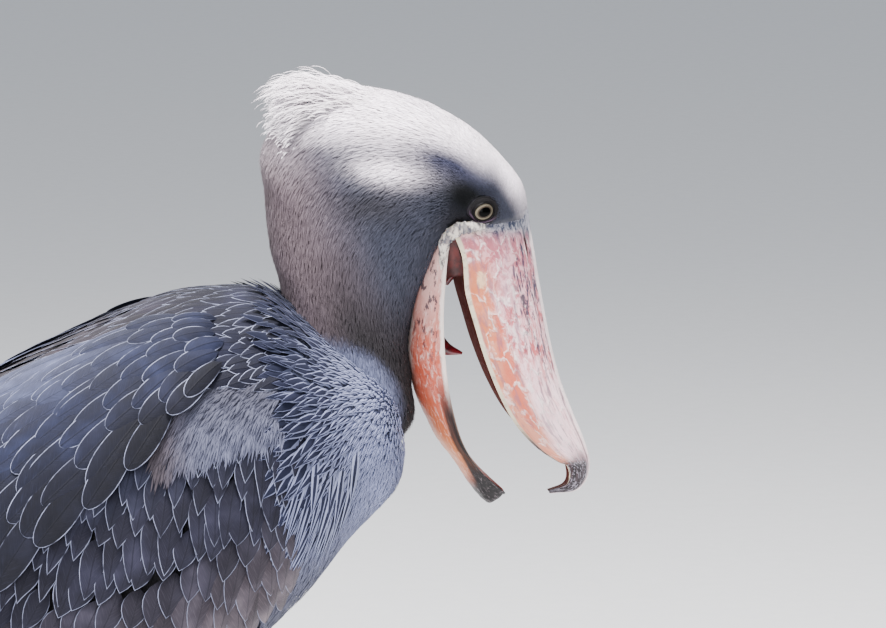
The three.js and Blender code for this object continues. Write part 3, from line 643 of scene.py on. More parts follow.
class Finish:
    """A material under construction around its Principled shader."""

    def __init__(self, name, roughness, **constants):
        self.material = bpy.data.materials.new(name)
        self.material.use_nodes = True
        self.tree = self.material.node_tree
        self.shader = self.tree.nodes["Principled BSDF"]
        self.shader.inputs["Roughness"].default_value = roughness
        for key, value in constants.items():
            self.shader.inputs[key.replace("_", " ").title().replace("Ior", "IOR")].default_value = value

    def node(self, kind, settings=None, inputs=None, output=0):
        """Adds a node: its settings first, then its sockets' values or links."""
        made = self.tree.nodes.new(kind)
        for key, value in (settings or {}).items():
            setattr(made, key, value)
        for key, value in (inputs or {}).items():
            self.feed(made.inputs[key], value)
        return Socket(self, made.outputs[output])

    def feed(self, target, value):
        if isinstance(value, Socket):
            self.tree.links.new(value.socket, target)
        elif np.ndim(value) == 0:
            target.default_value = float(value)
        else:
            value = tuple(float(x) for x in value)
            target.default_value = (*value, 1.0) if target.type == "RGBA" and len(value) == 3 else value

    def attribute(self, name, output="Vector"):
        return self.node("ShaderNodeAttribute", {"attribute_name": name}, output=output)

    def split(self, vector):
        return [self.node("ShaderNodeSeparateXYZ", None, {0: vector}, output=k) for k in range(3)]

    def place(self):
        return self.node("ShaderNodeTexCoord", None, None, output="Object")

    def stretched(self, vector, scale):
        if scale is None:
            return vector
        return self.node("ShaderNodeMapping", None, {"Vector": vector, "Scale": scale})

    def noise(self, vector, scale, detail, rough=0.5, stretch=None):
        vector = self.stretched(vector, stretch)
        inputs = {"Vector": vector, "Scale": scale, "Detail": detail, "Roughness": rough}
        return self.node("ShaderNodeTexNoise", None, inputs)

    def cells(self, vector, scale, stretch=None):
        """How far each place is from the edges between random cells."""
        vector = self.stretched(vector, stretch)
        settings = {"feature": "DISTANCE_TO_EDGE"}
        return self.node("ShaderNodeTexVoronoi", settings, {"Vector": vector, "Scale": scale})

    def mix(self, factor, a, b, kind="MIX"):
        settings = {"data_type": "RGBA", "blend_type": kind}
        return self.node("ShaderNodeMix", settings, {0: factor, 6: a, 7: b}, output=2)

    def times(self, colour, tint):
        return self.mix(1.0, colour, tint, "MULTIPLY")

    def layers(self, ground, *coats):
        """Colours laid over a ground one after the other, each by its share of 0 to 1."""
        for share, colour in coats:
            ground = self.mix(share, ground, colour)
        return ground

    def bump(self, height, strength, distance):
        inputs = {"Height": height, "Strength": strength, "Distance": distance}
        return self.node("ShaderNodeBump", None, inputs)

    def set(self, **links):
        for key, value in links.items():
            self.feed(self.shader.inputs[key.replace("_", " ").title()], value)
        return self.material


# Rows of the crest: share of the head and neck, how many, share of the crest's length, and how far up
# they stand.
CREST_ROWS = (
    (0.545, 13, 0.58, 0.22),
    (0.515, 13, 0.74, 0.36),
    (0.485, 13, 1.0, 0.6),
    (0.455, 13, 1.0, 0.84),
    (0.425, 13, 0.58, 0.9),
    (0.395, 11, 0.32, 0.8),
)


def painted(ground, *coats):
    """Colours laid over a ground one after the other, each by its share of 0 to 1."""
    for share, colour in coats:
        ground = blend(ground, colour, share)
    return ground


def head_colour(p, paint):
    """Markings of the head and neck by place: a pale crown, a mauve nape, grey cheeks, a dark temple."""
    x, _, z = in_mm(p)
    lean = x + 0.35 * (z - 760)
    crown = smooth(z + 0.25 * (x - 150) + 30 * smooth(x, 270, 300), 862, 900)
    mauve = smooth(lean, 190, 110) * smooth(z, 835, 880)
    # Painted shadow over the eye: a band from the brow down to the eye, and a darker hollow in front of it.
    along, across = 0.84 * (x - 240) - 0.54 * (z - 848), 0.54 * (x - 240) + 0.84 * (z - 848)
    temple_shadow = bell(along, 0, 30) * bell(across, 0, 11)
    back, over = 0.8 * (x - 252) - 0.6 * (z - 825), 0.6 * (x - 252) + 0.8 * (z - 825)
    hollow = bell(back, 0, 25) * bell(over, 0, 15)
    # Painted highlight: a pale patch on the cheek's top, where light falls from above.
    ridge = bell(x, 191, 26) * bell(z + 0.2 * (x - 203), 849, 9.5)
    collar = smooth(np.hypot(np.maximum(x, 130) - 130, z - 650), 76, 60)
    return painted(
        paint.nape,
        (smooth(lean, 128, 200), paint.cheek),
        # Painted shade: the throat darkened in the shadow under the bill.
        (smooth(z + 0.75 * (x - 200), 775, 690) * smooth(x, 105, 165), paint.throat),
        # The crown's pale feathers, raised nearly to white: partly painted highlight.
        (crown, paint.crown),
        (0.18 * mauve, paint.crown),
        # Painted shade under the lit top of the cheek.
        (0.65 * bell(x, 178, 34) * bell(z, 826, 15), paint.throat),
        # Painted shadow: the band from the brow to the eye, a bluish darker grey.
        (np.clip(1.2 * temple_shadow, 0, 1), paint.cheek * np.array([0.7, 0.7, 0.95])),
        # Painted shade below and behind the eye, where the face sinks.
        (0.8 * bell(x, 248, 15) * bell(z, 806, 12), paint.throat),
        # Painted shadow: the hollow over the eye, nearly black.
        (np.clip(hollow * 1.15, 0, 1), paint.temple_shadow),
        # Painted highlight on the cheek's top.
        (0.97 * ridge, paint.crown),
        (collar, paint.breast * (0.58 + 0.3 * smooth(x, 150, 190))[..., None]),
    )


def breast_grade(p):
    """0 on the fine pale breast to 1 on the mantle's large dark feathers."""
    x, _, z = in_mm(p)
    return smooth(182 - x, 0, 78) * smooth(z, 545, 625)


def body_colour(p, paint):
    """Markings of the torso by place: blue-grey breast, slate back and paler belly."""
    x, _, z = in_mm(p)
    back = smooth(z, 650, 700) * smooth(x, 110, 60)
    return painted(paint.belly, (smooth(z, 470, 590), paint.breast), (back, paint.mantle))


def backwards(tilt):
    """Directions back along the bird, turned down by an angle."""
    return np.stack([-np.cos(tilt), 0 * tilt, -np.sin(tilt)], -1)


def body_heading(p):
    """Feathers lie back along the body, and more steeply down the lower breast."""
    x, _, z = in_mm(p)
    return backwards(math.radians(8) + math.radians(58) * smooth(740 - z, 20, 210) * smooth(x, -60, 60))


def with_alpha(colour, alpha=1.0):
    return np.concatenate([colour, np.broadcast_to(alpha, colour.shape[:-1])[..., None]], -1)


def head_inset(u):
    """How far the skin of the head and neck lies under its outline."""
    return (4.5 - 3.2 * smooth(u, 0.6, 0.8)) * MM


rng = np.random.default_rng(11)


def jitter(n, amount):
    return 1 + amount * rng.uniform(-1, 1, n)


def sway(heading, amount):
    """Headings turned a little at random."""
    return unit(heading + rng.normal(0, amount, heading.shape))


def finished(piece, slot, *nodes):
    """Rides on the bird's one body, takes its finish from a slot and stands for the nodes named."""
    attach(piece, "root")
    if nodes:
        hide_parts(*nodes)


def form_loops(form, inset, rows, cols):
    """Loops round a body form, set in along its normals by a length or by a function of the share."""
    u = np.linspace(0, 1, rows)[:, None]
    v = round_turn(cols)[None]
    u, v = np.broadcast_arrays(u, v)
    depth = inset(u) if callable(inset) else np.full(u.shape, inset)
    return form.point(u, v, -depth)


LEG = {
    "hip": (0, 58, 560),
    "knee": (12, 64, 470),
    "cuff": (-20, 72, 352),
    "ankle": (-45, 75, 256),
    "foot": (0, 78, 17),
}
TOES = {"middle": (6, 150, 8), "inner": (-27, 108, 7.2), "outer": (38, 118, 7.2), "hind": (172, 66, 6.8)}
CLAW_LENGTH = 24
TAIL = (
    (-340, 512, -344, 480, 26),
    (-430, 464, -436, 440, 38),
    (-520, 411, -527, 391, 48),
    (-604, 360, -610, 344, 54),
)
tail_form = Form(TAIL, 1.0)


def leg_points(names, side):
    return [(LEG[k][0], LEG[k][1] * side, LEG[k][2]) for k in names]


def between(a, b, t):
    return tuple(p + (q - p) * t for p, q in zip(a, b))


def slab_loops(side):
    """Loops round the wing's own skin: the hull's section from its upper edge to its lower, 15 mm in, and
    back again 28 mm in."""
    x = np.linspace(112, -480, 70) * MM
    back = np.linspace(0, 1, len(x))
    upper = 0.06 + 0.2 * smooth(back, 0.45, 1)
    lower = 0.66 + 0.1 * smooth(back, 0, 0.3) - 0.06 * smooth(back, 0.6, 1)
    turn = upper[:, None] + (lower - upper)[:, None] * np.linspace(0, 1, 44)
    u = np.broadcast_to(wing_share(x)[:, None], turn.shape)
    outer, inner = (wing_form.point(u, turn * math.pi, np.full(turn.shape, -deep * MM)) for deep in (15, 28))
    loops = np.concatenate([outer, inner[:, ::-1]], axis=1)
    loops[..., 1] = np.maximum(loops[..., 1], 1 * MM) * side
    return loops


def thigh_loops(side, swell=0.0):
    path = leg_points(("hip", "knee", "cuff"), side)
    return rod_loops(path, [(41, 66), (37, 48), (16, 18)], 26, 40, swell)


def make_skin(sizes, paint):
    """Skin under the coat: torso, neck with head, thighs and wings, joined by a fine remesh."""
    depth = sizes.coat_depth
    parts = [form_loops(torso_form, depth * 0.5, 60, 72), form_loops(head_form, head_inset, 90, 90)]
    for _, side in SIDES:
        parts += [slab_loops(side), thigh_loops(side, -depth * 0.6)]
    points, faces = [], []
    for p, f in map(tube_mesh, parts):
        faces.append(f + sum(map(len, points)))
        points.append(p)
    rough = mesh_object("skin", np.concatenate(points), np.concatenate(faces), skin_material())
    remesh = rough.modifiers.new("join", "REMESH")
    remesh.mode = "VOXEL"
    remesh.voxel_size = SKIN_CELL
    remesh.use_smooth_shade = True
    soft = rough.modifiers.new("soften", "SMOOTH")
    soft.factor = 0.5
    soft.iterations = 4
    graph = bpy.context.evaluated_depsgraph_get()
    joined = bpy.data.meshes.new_from_object(rough.evaluated_get(graph))
    rough.modifiers.clear()
    old = rough.data
    rough.data = joined
    bpy.data.meshes.remove(old)
    count = len(joined.vertices)
    at = np.zeros(count * 3, np.float32)
    joined.vertices.foreach_get("co", at)
    at = at.reshape(-1, 3).astype(float) - SHIFT
    colour = skin_colour(at, paint)
    sunk = at.copy()
    for _, side in SIDES:
        centre, look, _, _ = eye_frame(side)
        out = at - centre
        axial = out @ look
        radial = np.linalg.norm(out - axial[:, None] * look, axis=1)
        near = smooth(radial, 12 * MM, 9 * MM) * smooth(np.abs(axial), 26 * MM, 22 * MM)
        sunk -= 8 * MM * near[:, None] * look
    joined.vertices.foreach_set("co", (sunk + SHIFT).astype(np.float32).ravel())
    layer = joined.attributes.new("coat", "FLOAT_COLOR", "POINT")
    layer.data.foreach_set("color", with_alpha(colour).astype(np.float32).ravel())
    finished(rough, "body_feathers", "torso", "neck", "head", "thigh_left", "thigh_right")


def skin_colour(p, paint):
    """The same markings as the coat's, a little darker, by place: head and neck, body, wings."""
    x, y, z = in_mm(p)
    head = smooth(x + 0.6 * (z - 700), 90, 130) * smooth(z, 640, 690)
    colour = blend(body_colour(p, paint), head_colour(p, paint), head)
    side = smooth(np.abs(y), 86, 104) * smooth(x, 118, 96)
    dark = np.maximum(side, smooth(x, -60, -150))
    colour = blend(colour, paint.flight, dark)
    return colour * (0.86 - 0.2 * dark)[..., None]


def skin_material():
    f = Finish("skin_under_feathers", 0.85)
    colour = f.attribute("coat", 0)
    grain = f.noise(f.place(), 260, 3)
    fine = f.noise(f.place(), 900, 2, stretch=(1, 1, 0.4))
    shade = f.mix(grain.over(0.35, 0.7), colour, f.times(colour, (0.62, 0.62, 0.64)))
    return f.set(base_color=shade, normal=f.bump(grain + fine, 0.5, 0.002))


def small_feather_material(name, paint):
    """Short soft feathers: the coat's colour, and a dark spear along the shaft that widens with alpha until
    only a thin pale rim is left. The share in from the rim is rim / (rim + off the shaft)."""
    f = Finish(name, 0.85, sheen_weight=0.04, sheen_roughness=0.5, specular_ior_level=0.12)
    colour = f.attribute("coat", 0)
    down, off, rim = f.split(f.attribute("vane", 1))
    amount = f.attribute("coat", 3)
    inside = rim / (rim + off.abs() + 0.001)
    streak = (inside + 0.86 * amount).over(0.9, 1.0) * amount.over(0.02, 0.15)
    barb = (down * 9 + off.abs() * 7).sin()
    patch = f.noise(f.place(), 55, 3)
    pale = f.mix(patch.over(0.3, 0.75) * 0.6, colour, f.times(colour, (1.18, 1.19, 1.22)))
    dark = f.mix(patch.over(0.3, 0.7) * 0.5, paint.streak, f.times(colour, (0.14, 0.14, 0.19)))
    shade = f.mix(streak, pale, dark)
    return f.set(base_color=shade, normal=f.bump(barb, 0.12, 0.0003))


def vane_material(name, paint, roughness=0.6, sheen=0.03, rim=0.75):
    """Broad feathers: a dark vane with barbs, lighter above its shaft, and a thin pale rim."""
    f = Finish(name, roughness, sheen_weight=sheen, sheen_roughness=0.35, specular_ior_level=0.18)
    colour = f.attribute("coat", 0)
    edge = f.attribute("coat", 3)
    down, off, inside = f.split(f.attribute("vane", 1))
    wide = off.abs()
    wave = f.noise(f.place(), 90, 2)
    barb = (down * 5.2 + wide * 6.5 + wave * 8).sin()
    split = f.noise(f.node("ShaderNodeCombineXYZ", None, {0: down * 0.1 + wide * 0.13, 1: down * 0.01}), 9, 1)
    cloud = f.noise(f.place(), 30, 3)
    # Painted sheen: a colour 2.3 times the vane's, laid in clouds, along the splits and on the barb lines.
    light = f.times(colour, (2.3, 2.2, 2.0))
    shaft = wide.over(0.8, 0.25)
    shade = f.layers(
        f.times(colour, (0.5, 0.48, 0.5)),
        (cloud.over(0.4, 0.66), colour),
        (cloud.over(0.56, 0.74) * (0.3 + 0.5 * split), light),
        (split.over(0.5, 0.75) * 0.35, light),
        (barb.over(0.2, 1.0) * 0.16, light),
        (shaft * 0.6, f.times(colour, (0.4, 0.4, 0.42))),
        (inside.over(rim, rim * 0.35) * edge * wave.over(0.25, 0.6), paint.rim),
    )
    return f.set(
        base_color=shade,
        roughness=roughness + 0.2 * cloud,
        normal=f.bump(barb * 0.5 + shaft * 2 + split, 0.35, 0.0005),
    )


def make_head_down(sizes, paint):
    """Short dense feathers of the face, the crown and the neck, in three pieces that leave the eyes bare."""
    sets = (
        ("face_down", (0.67, 0.985), 0.5, sizes.face_down, 0.13),
        ("crown_down", (0.37, 0.70), 0.62, sizes.crown_down, 0.1),
        ("neck_down", (0.0, 0.385), 0.72, sizes.neck_down, 0.1),
    )
    material = small_feather_material("head_down", paint)
    for name, u_range, half, length, stand in sets:
        tufts = Feathers(2, 3, pointed)
        u, v = spread(head_form, 24000, u_range)
        p = head_form.bare(u, v)
        x, _, z = in_mm(p)
        near_eye = np.hypot(x - 264, z - 814.5) / 12.5
        keep = near_eye > 1.0
        u, v, p, near_eye, z = (values[keep] for values in (u, v, p, near_eye, z))
        along, _ = head_form.slopes(u, v)
        size = 0.45 + 0.55 * smooth(near_eye, 1.0, 3.0) + 0.5 * smooth(z, 850, 880)
        n = len(u)
        deep = head_inset(u) + 0.4 * MM
        lock = np.sin(v * 46 + 6 * np.sin(u * 60)) * np.sin(u * 150 + 4 * np.sin(v * 17))
        tint = (1 + (0.1 + 0.1 * smooth(z, 830, 870)) * lock) * jitter(n, 0.16)
        heading = sway(-unit(along), 0.08)
        lengths = length * size * jitter(n, 0.25)
        halves = half * MM * jitter(n, 0.2)
        rise = deep + length * stand * (1 + 0.35 * lock) * jitter(n, 0.4)
        shape = {"base": -deep, "rise": rise, "cup": 0.1 * MM, "thick": 0.25 * MM}
        coat = with_alpha(head_colour(p, paint) * tint[:, None], 0.0)
        tufts.straight(head_form, u, v, heading, lengths, halves, shape, coat)
        tufts.build(name, material, "head_feathers", soft=True)


def make_crest(sizes, paint):
    """Loose pale wisps at the back of the crown, made of narrow feathers that fan out and droop."""
    wisps = Feathers(6, 3, lambda t: pointed(t, 0.25, 0.8))
    for share, count, reach, lean in CREST_ROWS:
        for _ in range(24):
            wide = np.linspace(-1, 1, count) + rng.normal(0, 0.06, count)
            u, v = share + rng.normal(0, 0.012, count), wide * 0.58
            along, _ = head_form.slopes(u, v)
            size = reach * sizes.crest * (1 - 0.35 * wide**2) * jitter(count, 0.25)
            stand = lean * (1 - 0.25 * wide**2) * jitter(count, 0.2)
            heading = sway(-unit(along), 0.1)
            half = 0.75 * MM * jitter(count, 0.35)
            shape = {
                "base": -3 * MM, "rise": size * np.sin(stand) + 2 * MM, "bend": size * 0.03, "cup": 0.3 * MM,
                "thick": 0.35 * MM,
            }
            colour = blend(paint.crest, paint.nape, 0.35 * np.abs(wide)) * jitter(count, 0.14)[:, None]
            wisps.straight(
                head_form, u, v, heading, size * np.cos(stand), half, shape, with_alpha(colour, 0.0)
            )
    wisps.build("crest", small_feather_material("crest_down", paint), "head_feathers", soft=True)


def make_breast(sizes, paint):
    """Feathers of the breast, flanks and belly, small and finely streaked in front and larger behind, and
    none where the wings cover them."""
    lowness = lambda p: smooth(p[..., 2] / MM, 600, 500)
    spacing = lambda p: (2.9 + 4.2 * breast_grade(p) + 2.5 * lowness(p)) * MM
    u, v = spread(torso_form, 15000, (0.02, 0.995), spacing)
    p = torso_form.bare(u, v)
    x, y, z = in_mm(p)
    keep = ~((x < 92) & (np.abs(y) > 60) & (z > 470) | ((x < -230) & (z > 500)) | ((x < 104) & (z > 690)))
    u, v, p, x, z = (values[keep] for values in (u, v, p, x, z))
    grade, low = breast_grade(p), lowness(p)
    upper = smooth(x - 0.5 * (z - 680), 150, 96)
    n = len(u)
    length = (sizes.breast_feather + (21 * grade + 10 * low) * MM) * jitter(n, 0.25)
    half = (1.5 + 2.9 * grade + 0.8 * low) * MM * jitter(n, 0.25)
    colour = painted(
        paint.breast * 0.88,
        (smooth(x, 150, 188), paint.breast * 1.38),
        (low, blend(paint.belly, paint.down, 0.5)),
        (0.55 * upper * grade, paint.mantle * 2.0),
    )
    heading = sway(body_heading(p), 0.06 + 0.08 * grade[:, None])
    shape = {
        "base": -4.2 * MM, "rise": (4.7 - 1.9 * upper * grade) * MM + length * 0.04, "cup": half * 0.08,
        "thick": 0.4 * MM,
    }
    dark = 0.16 + 0.56 * smooth(grade, 0.05, 0.7) + 0.26 * upper
    coat = with_alpha(colour * jitter(n, 0.08)[:, None], dark)
    plan = Feathers(4, 3, pointed)
    plan.straight(torso_form, u, v, heading, length, half, shape, coat)
    plan.build("breast", small_feather_material("breast_feathers", paint), "body_feathers", soft=True)


def make_mantle(sizes, paint):
    """Pointed dark feathers with pale rims over the shoulders and the back, small in front, long behind, in
    rows 8 to 19 mm apart. Near the back's ridge they lie on the torso, beside it on the wings."""
    vanes = Feathers(6, 5, lambda t: pointed(t, 0.5, 0.85) * np.minimum(1, 0.4 + t * 4), even=1.15)
    for _, side in SIDES:
        for row, x in enumerate(118 - np.cumsum(np.linspace(8, 19, 20))):
            front = float(smooth(x, -60, 120))
            reach = (0.07 + 0.235 * float(smooth(x, -70, 40))) * math.pi
            forms = [(wing_form, 0.0, reach, 120)]
            if x > 14:
                forms = [(torso_form, 0.42 if x > 100 else 0.0, 0.70, 118), (wing_form, 0.5, reach, 135)]
            for form, low, high, radius in forms:
                count = max(2, int((high - low) * radius / (12.5 - 2 * front)))
                t = (np.arange(count) + 0.5 * (row % 2) + rng.normal(0, 0.1, count)) / count
                v = low + (high - low) * t
                at = np.full(count, x) + rng.normal(0, 1.2, count)
                u = wing_share(at * MM) if form is wing_form else torso_share(at)
                length = (sizes.mantle_feather - 26 * front * MM) * jitter(count, 0.12)
                half = (7.4 - 1.0 * front) * MM * jitter(count, 0.12)
                brown = 0.65 * (1 - front) * smooth(v, 0.6, 0.2)
                colour = blend(paint.mantle, paint.brown, brown) * jitter(count, 0.14)[:, None]
                heading = sway(backwards(0.1 + 0.45 * v / math.pi * 3 * front), 0.05)
                shape = {
                    "base": -1.5 * MM, "rise": (6.5 - 3 * front) * MM, "cup": 0.8 * MM, "roll": 0.5 * MM,
                    "thick": 0.5 * MM,
                }
                coat = with_alpha(colour, 0.95)
                vanes.laid(form, u, v, heading, length, half, shape, coat, BODY_PATCH, side)
    vanes.build("mantle", vane_material("mantle_feathers", paint, rim=0.7), "body_feathers")


def make_shoulder_down(sizes, paint):
    """Soft pale down that shows between the scapulars, the breast and the coverts."""
    tufts = Feathers(3, 3, lambda t: pointed(t, 0.5, 0.8))
    n = 3000
    back, low = scattered(n)
    x = (100 - 104 * back) * MM
    turn = 0.285 + 0.12 * low
    lock = np.sin(x / MM * 0.33 + 3 * low) * np.sin(low * 16 + x / MM * 0.09)
    for _, side in SIDES:
        angle = 0.45 + 0.85 * low + 0.25 * lock + rng.normal(0, 0.1, n)
        size = (sizes.shoulder_down + 5 * low * MM) * jitter(n, 0.3)
        heading = wing_heading(x, turn, angle)
        rise = 7.0 * MM * (1 + 0.12 * lock) * jitter(n, 0.12)
        shape = {"base": -7 * MM, "rise": rise, "cup": 0.15 * MM, "thick": 0.3 * MM}
        tint = (1 + 0.16 * lock) * jitter(n, 0.1)
        behind = smooth(x, 36 * MM, 2 * MM)
        colour = painted(paint.down, (0.3 * low, paint.breast), (behind, paint.hanging * 0.6))
        coat = with_alpha(colour * tint[:, None], 0.0)
        half = 0.85 * MM * jitter(n, 0.3)
        tufts.straight(wing_form, wing_share(x), turn * math.pi, heading, size, half, shape, coat, side)
    material = small_feather_material("shoulder_down", paint)
    tufts.build("shoulder_down", material, "body_feathers", soft=True)


def make_plumes(sizes, paint):
    """Loose narrow plumes that hang from the sides of the breast over the wing's front edge."""
    vanes = Feathers(8, 3, lambda t: pointed(t, 0.4, 0.9))
    n = 70
    ahead, low = scattered(n)
    x = 106 + 50 * ahead
    u = torso_share(x)
    v = (0.47 + 0.09 * low - 0.02 * smooth(x, 130, 100)) * math.pi
    for _, side in SIDES:
        size = (sizes.plume + 34 * low * MM) * jitter(n, 0.2)
        colour = blend(paint.breast, paint.rim, 0.7 * ahead) * jitter(n, 0.12)[:, None]
        heading = sway(np.stack([-0.34 - 0.3 * low, np.zeros(n), -np.ones(n)], -1), 0.07)
        half = 3.0 * MM * jitter(n, 0.3)
        shape = {"base": -3 * MM, "rise": 6.5 * MM * jitter(n, 0.4), "cup": 0.7 * MM, "thick": 0.4 * MM}
        coat = with_alpha(colour, 0.5)
        vanes.laid(torso_form, u, v, heading, size, half, shape, coat, BODY_PATCH, side)
    vanes.build("plumes", small_feather_material("plume_feathers", paint), "body_feathers")


def make_thighs(sizes, paint):
    """Soft feathers of the thighs, hanging down over the legs: each root lies between four points of the
    thigh's loops, and a point is root + ahead * length * along + aside * half * width * across + out * lift,
    with lift = -2 mm + 0.2 * length * along^0.7, less the thickness under the middle."""
    tufts = Feathers(3, 3, pointed)
    loops = thigh_loops(1)
    rows, cols = loops.shape[:2]
    n = 4200
    half = 2.2 * MM
    a, b = scattered(n)
    a, b = a * (rows - 1.001), b * cols
    i, j = a.astype(int), b.astype(int)
    k = (j + 1) % cols
    down, aside = (a - i)[:, None], (b - j)[:, None]
    top, low = (loops[at, j] * (1 - aside) + loops[at, k] * aside for at in (i, i + 1))
    root = top * (1 - down) + low * down
    ahead = unit(low - top)
    out = over_form(unit(root - loops.mean(1)[i]), ahead)
    across = np.cross(out, ahead)
    place = np.stack([b / cols, a / rows], -1)
    for _, side in SIDES:
        length = sizes.thigh_feather * jitter(n, 0.25)[:, None]
        lift = -2 * MM + length * 0.2 * tufts.along**0.7 - 0.5 * MM * tufts.under
        points = (
            root[:, None]
            + ahead[:, None] * (length * tufts.along)[..., None]
            + across[:, None] * (half * tufts.width * tufts.across)[None, :, None]
            + out[:, None] * lift[..., None]
        )
        points[..., 1] *= side
        colour = blend(paint.down, paint.belly, smooth(root[:, 2] / MM, 400, 520)) * jitter(n, 0.2)[:, None]
        coat = with_alpha(colour, 0.1)
        tufts.keep(points, length[:, 0], half, place, coat, SMALL_PATCH, flip=side < 0)
    tufts.build("thigh_feathers", small_feather_material("thigh_feathers", paint), "body_feathers")


def turn_through(*rows):
    """The turn round the wing that goes through places given as x in millimetres and turn."""
    x, turn = np.array(rows, float).T
    return lambda at: np.interp(-np.asarray(at) / MM, -x, turn)


def wing_rows(first, last, step, rows, upper, lower):
    """Staggered places over a tier: x from first back to last, and turns from its upper to its lower edge."""
    x, t = np.meshgrid(np.arange(first, last, -step) * MM, (np.arange(rows) + 0.5) / rows, indexing="ij")
    x = x - (np.arange(rows) % 2) * 0.5 * step * MM
    turn = upper(x) + (lower(x) - upper(x)) * t
    return x.ravel(), turn.ravel(), t.ravel()


def wing_heading(x, turn, angle):
    """A direction over the wing: straight back at angle 0, down its side at a quarter turn."""
    u, v = wing_share(x), turn * math.pi
    along, round_it = wing_form.slopes(u, v)
    return unit(along) * np.cos(angle)[:, None] + unit(round_it) * np.sin(angle)[:, None]


def wing_tier(feathers, x, turn, angle, length, half, shape, coat, side):
    """Lays one tier of feathers over the wing, each from its place at its angle."""
    u, heading = wing_share(x), wing_heading(x, turn, angle)
    feathers.laid(wing_form, u, turn * math.pi, heading, length, half, shape, coat, WING_PATCH, side)


def make_scapulars(sizes, paint):
    """Broad rounded feathers with pale rims over the back's sides, in rows like roof tiles."""
    upper = turn_through((112, 0.1), (40, 0.12), (-60, 0.045), (-230, 0.05), (-330, 0.08))
    lower = turn_through((112, 0.24), (40, 0.28), (-50, 0.395), (-180, 0.41), (-330, 0.36))
    material = vane_material("scapular_feathers", paint)
    for name, side in SIDES:
        vanes = Feathers(12, 7, lambda t: rounded(t, 0.6, 2.0), even=1.75)
        x, turn, t = wing_rows(50, -330, 28, 12, upper, lower)
        n = len(x)
        x = x + rng.normal(0, 3 * MM, n)
        front = smooth(x, -40 * MM, 60 * MM)
        angle = 0.02 + 0.7 * t**1.9 + rng.normal(0, 0.06, n)
        length = (sizes.scapular_feather - 46 * front * MM) * jitter(n, 0.16)
        half = (12.5 - 4.5 * front - 2.5 * (1 - t)) * MM * jitter(n, 0.12)
        colour = painted(
            paint.slate,
            (0.6 * smooth(t, 0.6, 1.0), paint.covert),
            # Painted sheen: the upper front scapulars lighter where the light catches them.
            (0.6 * smooth(t, 0.55, 0.1) * smooth(x, 30 * MM, -40 * MM), paint.sheen),
        )
        colour = colour * (1 - 0.55 * smooth(t, 0.55, 0.95))[:, None] * jitter(n, 0.14)[:, None]
        base = (1.0 + 3.5 * t) * MM
        shape = {"base": base, "rise": 6.0 * MM, "cup": 1.4 * MM, "roll": 1.5 * MM, "thick": 0.9 * MM}
        coat = with_alpha(colour, 0.8 * jitter(n, 0.25))
        wing_tier(vanes, x, turn, angle, length, half, shape, coat, side)
        vanes.build(f"scapulars_{name}", material, "body_feathers", f"wing_{name}_scapulars")


def make_coverts(sizes, paint):
    """The wing's coverts: rows of pointed dark feathers with pale rims that hang down its side."""
    upper = turn_through((112, 0.36), (40, 0.37), (-50, 0.38), (-330, 0.35))
    lower = turn_through((112, 0.68), (-330, 0.66))
    material = vane_material("covert_feathers", paint, 0.65, 0.05)
    for name, side in SIDES:
        vanes = Feathers(8, 5, lambda t: pointed(t, 0.42, 0.95) * np.minimum(1, 0.5 + t * 3), even=1.2)
        x, turn, t = wing_rows(114, -330, 15.5, 10, upper, lower)
        turn = turn - (lower(x) - upper(x)) * 0.22 * t * (1 - t)
        n = len(x)
        x = x + rng.normal(0, 1.6 * MM, n)
        turn = turn + rng.normal(0, 0.004, n)
        back = smooth(x, 110 * MM, -300 * MM)
        angle = 1.42 - 0.74 * back + rng.normal(0, 0.07, n)
        length = sizes.covert_feather * (0.43 + 0.57 * t) * jitter(n, 0.16)
        half = (7.0 + 6.9 * t) * MM * jitter(n, 0.14)
        colour = painted(
            blend(paint.slate, paint.down, 0.3),
            (smooth(t, 0.04, 0.3), paint.covert),
            (smooth(t, 0.45, 0.85), paint.hanging),
        )
        colour = colour * jitter(n, 0.2)[:, None]
        shape = {"base": -6.5 * MM, "rise": 6.0 * MM, "cup": 1.3 * MM, "roll": 1.0 * MM, "thick": 0.8 * MM}
        coat = with_alpha(colour, 0.85 * jitter(n, 0.18))
        wing_tier(vanes, x, turn, angle, length, half, shape, coat, side)
        vanes.build(f"coverts_{name}", material, "flight_feathers", f"wing_{name}_coverts")


def make_flight(sizes, paint):
    """The secondaries and primaries: long dark vanes that close over each other towards the tail. Roots and
    tips lie on lines over the wing, each given by x in millimetres and turn at its first and last vane."""
    material = vane_material("flight_vanes", paint, 0.45, 0.15, rim=0.8)
    rows = (
        ("secondaries", (-150, 0.38), (-150, 0.66), (-490, 0.36), (-350, 0.72), 16, 15, -7.0, 0.4),
        ("primaries", (-120, 0.70), (-120, 0.745), (-594, 0.35), (-500, 0.62), 11, 12, -12.0, 1.0),
    )

    def on_line(first, last, t):
        x, turn = (a + (b - a) * t for a, b in zip(first, last))
        return np.stack([wing_share(x * MM), turn * math.pi], -1)

    for kind, root0, root1, tip0, tip1, count, half, lift, layer in rows:
        t = np.linspace(0, 1, count)
        starts, stops = on_line(root0, root1, t), on_line(tip0, tip1, t)
        place = np.stack([t * 0.8 + 0.1, np.full(count, 0.5)], -1)
        base = (lift - layer * t * 4) * MM
        shape = {"base": base, "rise": 2.0 * MM, "cup": 1.2 * MM, "roll": 1.6 * MM, "thick": 0.9 * MM}
        for name, side in SIDES:
            vanes = Feathers(14, 7, lambda t: rounded(t, 0.7, 1.7), even=1.1)
            coat = with_alpha(paint.flight * jitter(count, 0.12)[:, None], 0.35)
            vanes.spanned(wing_form, starts, stops, half * MM, shape, coat, FLIGHT_PATCH, place, side)
            vanes.build(f"{kind}_{name}", material, "flight_feathers", f"wing_{name}_{kind}")


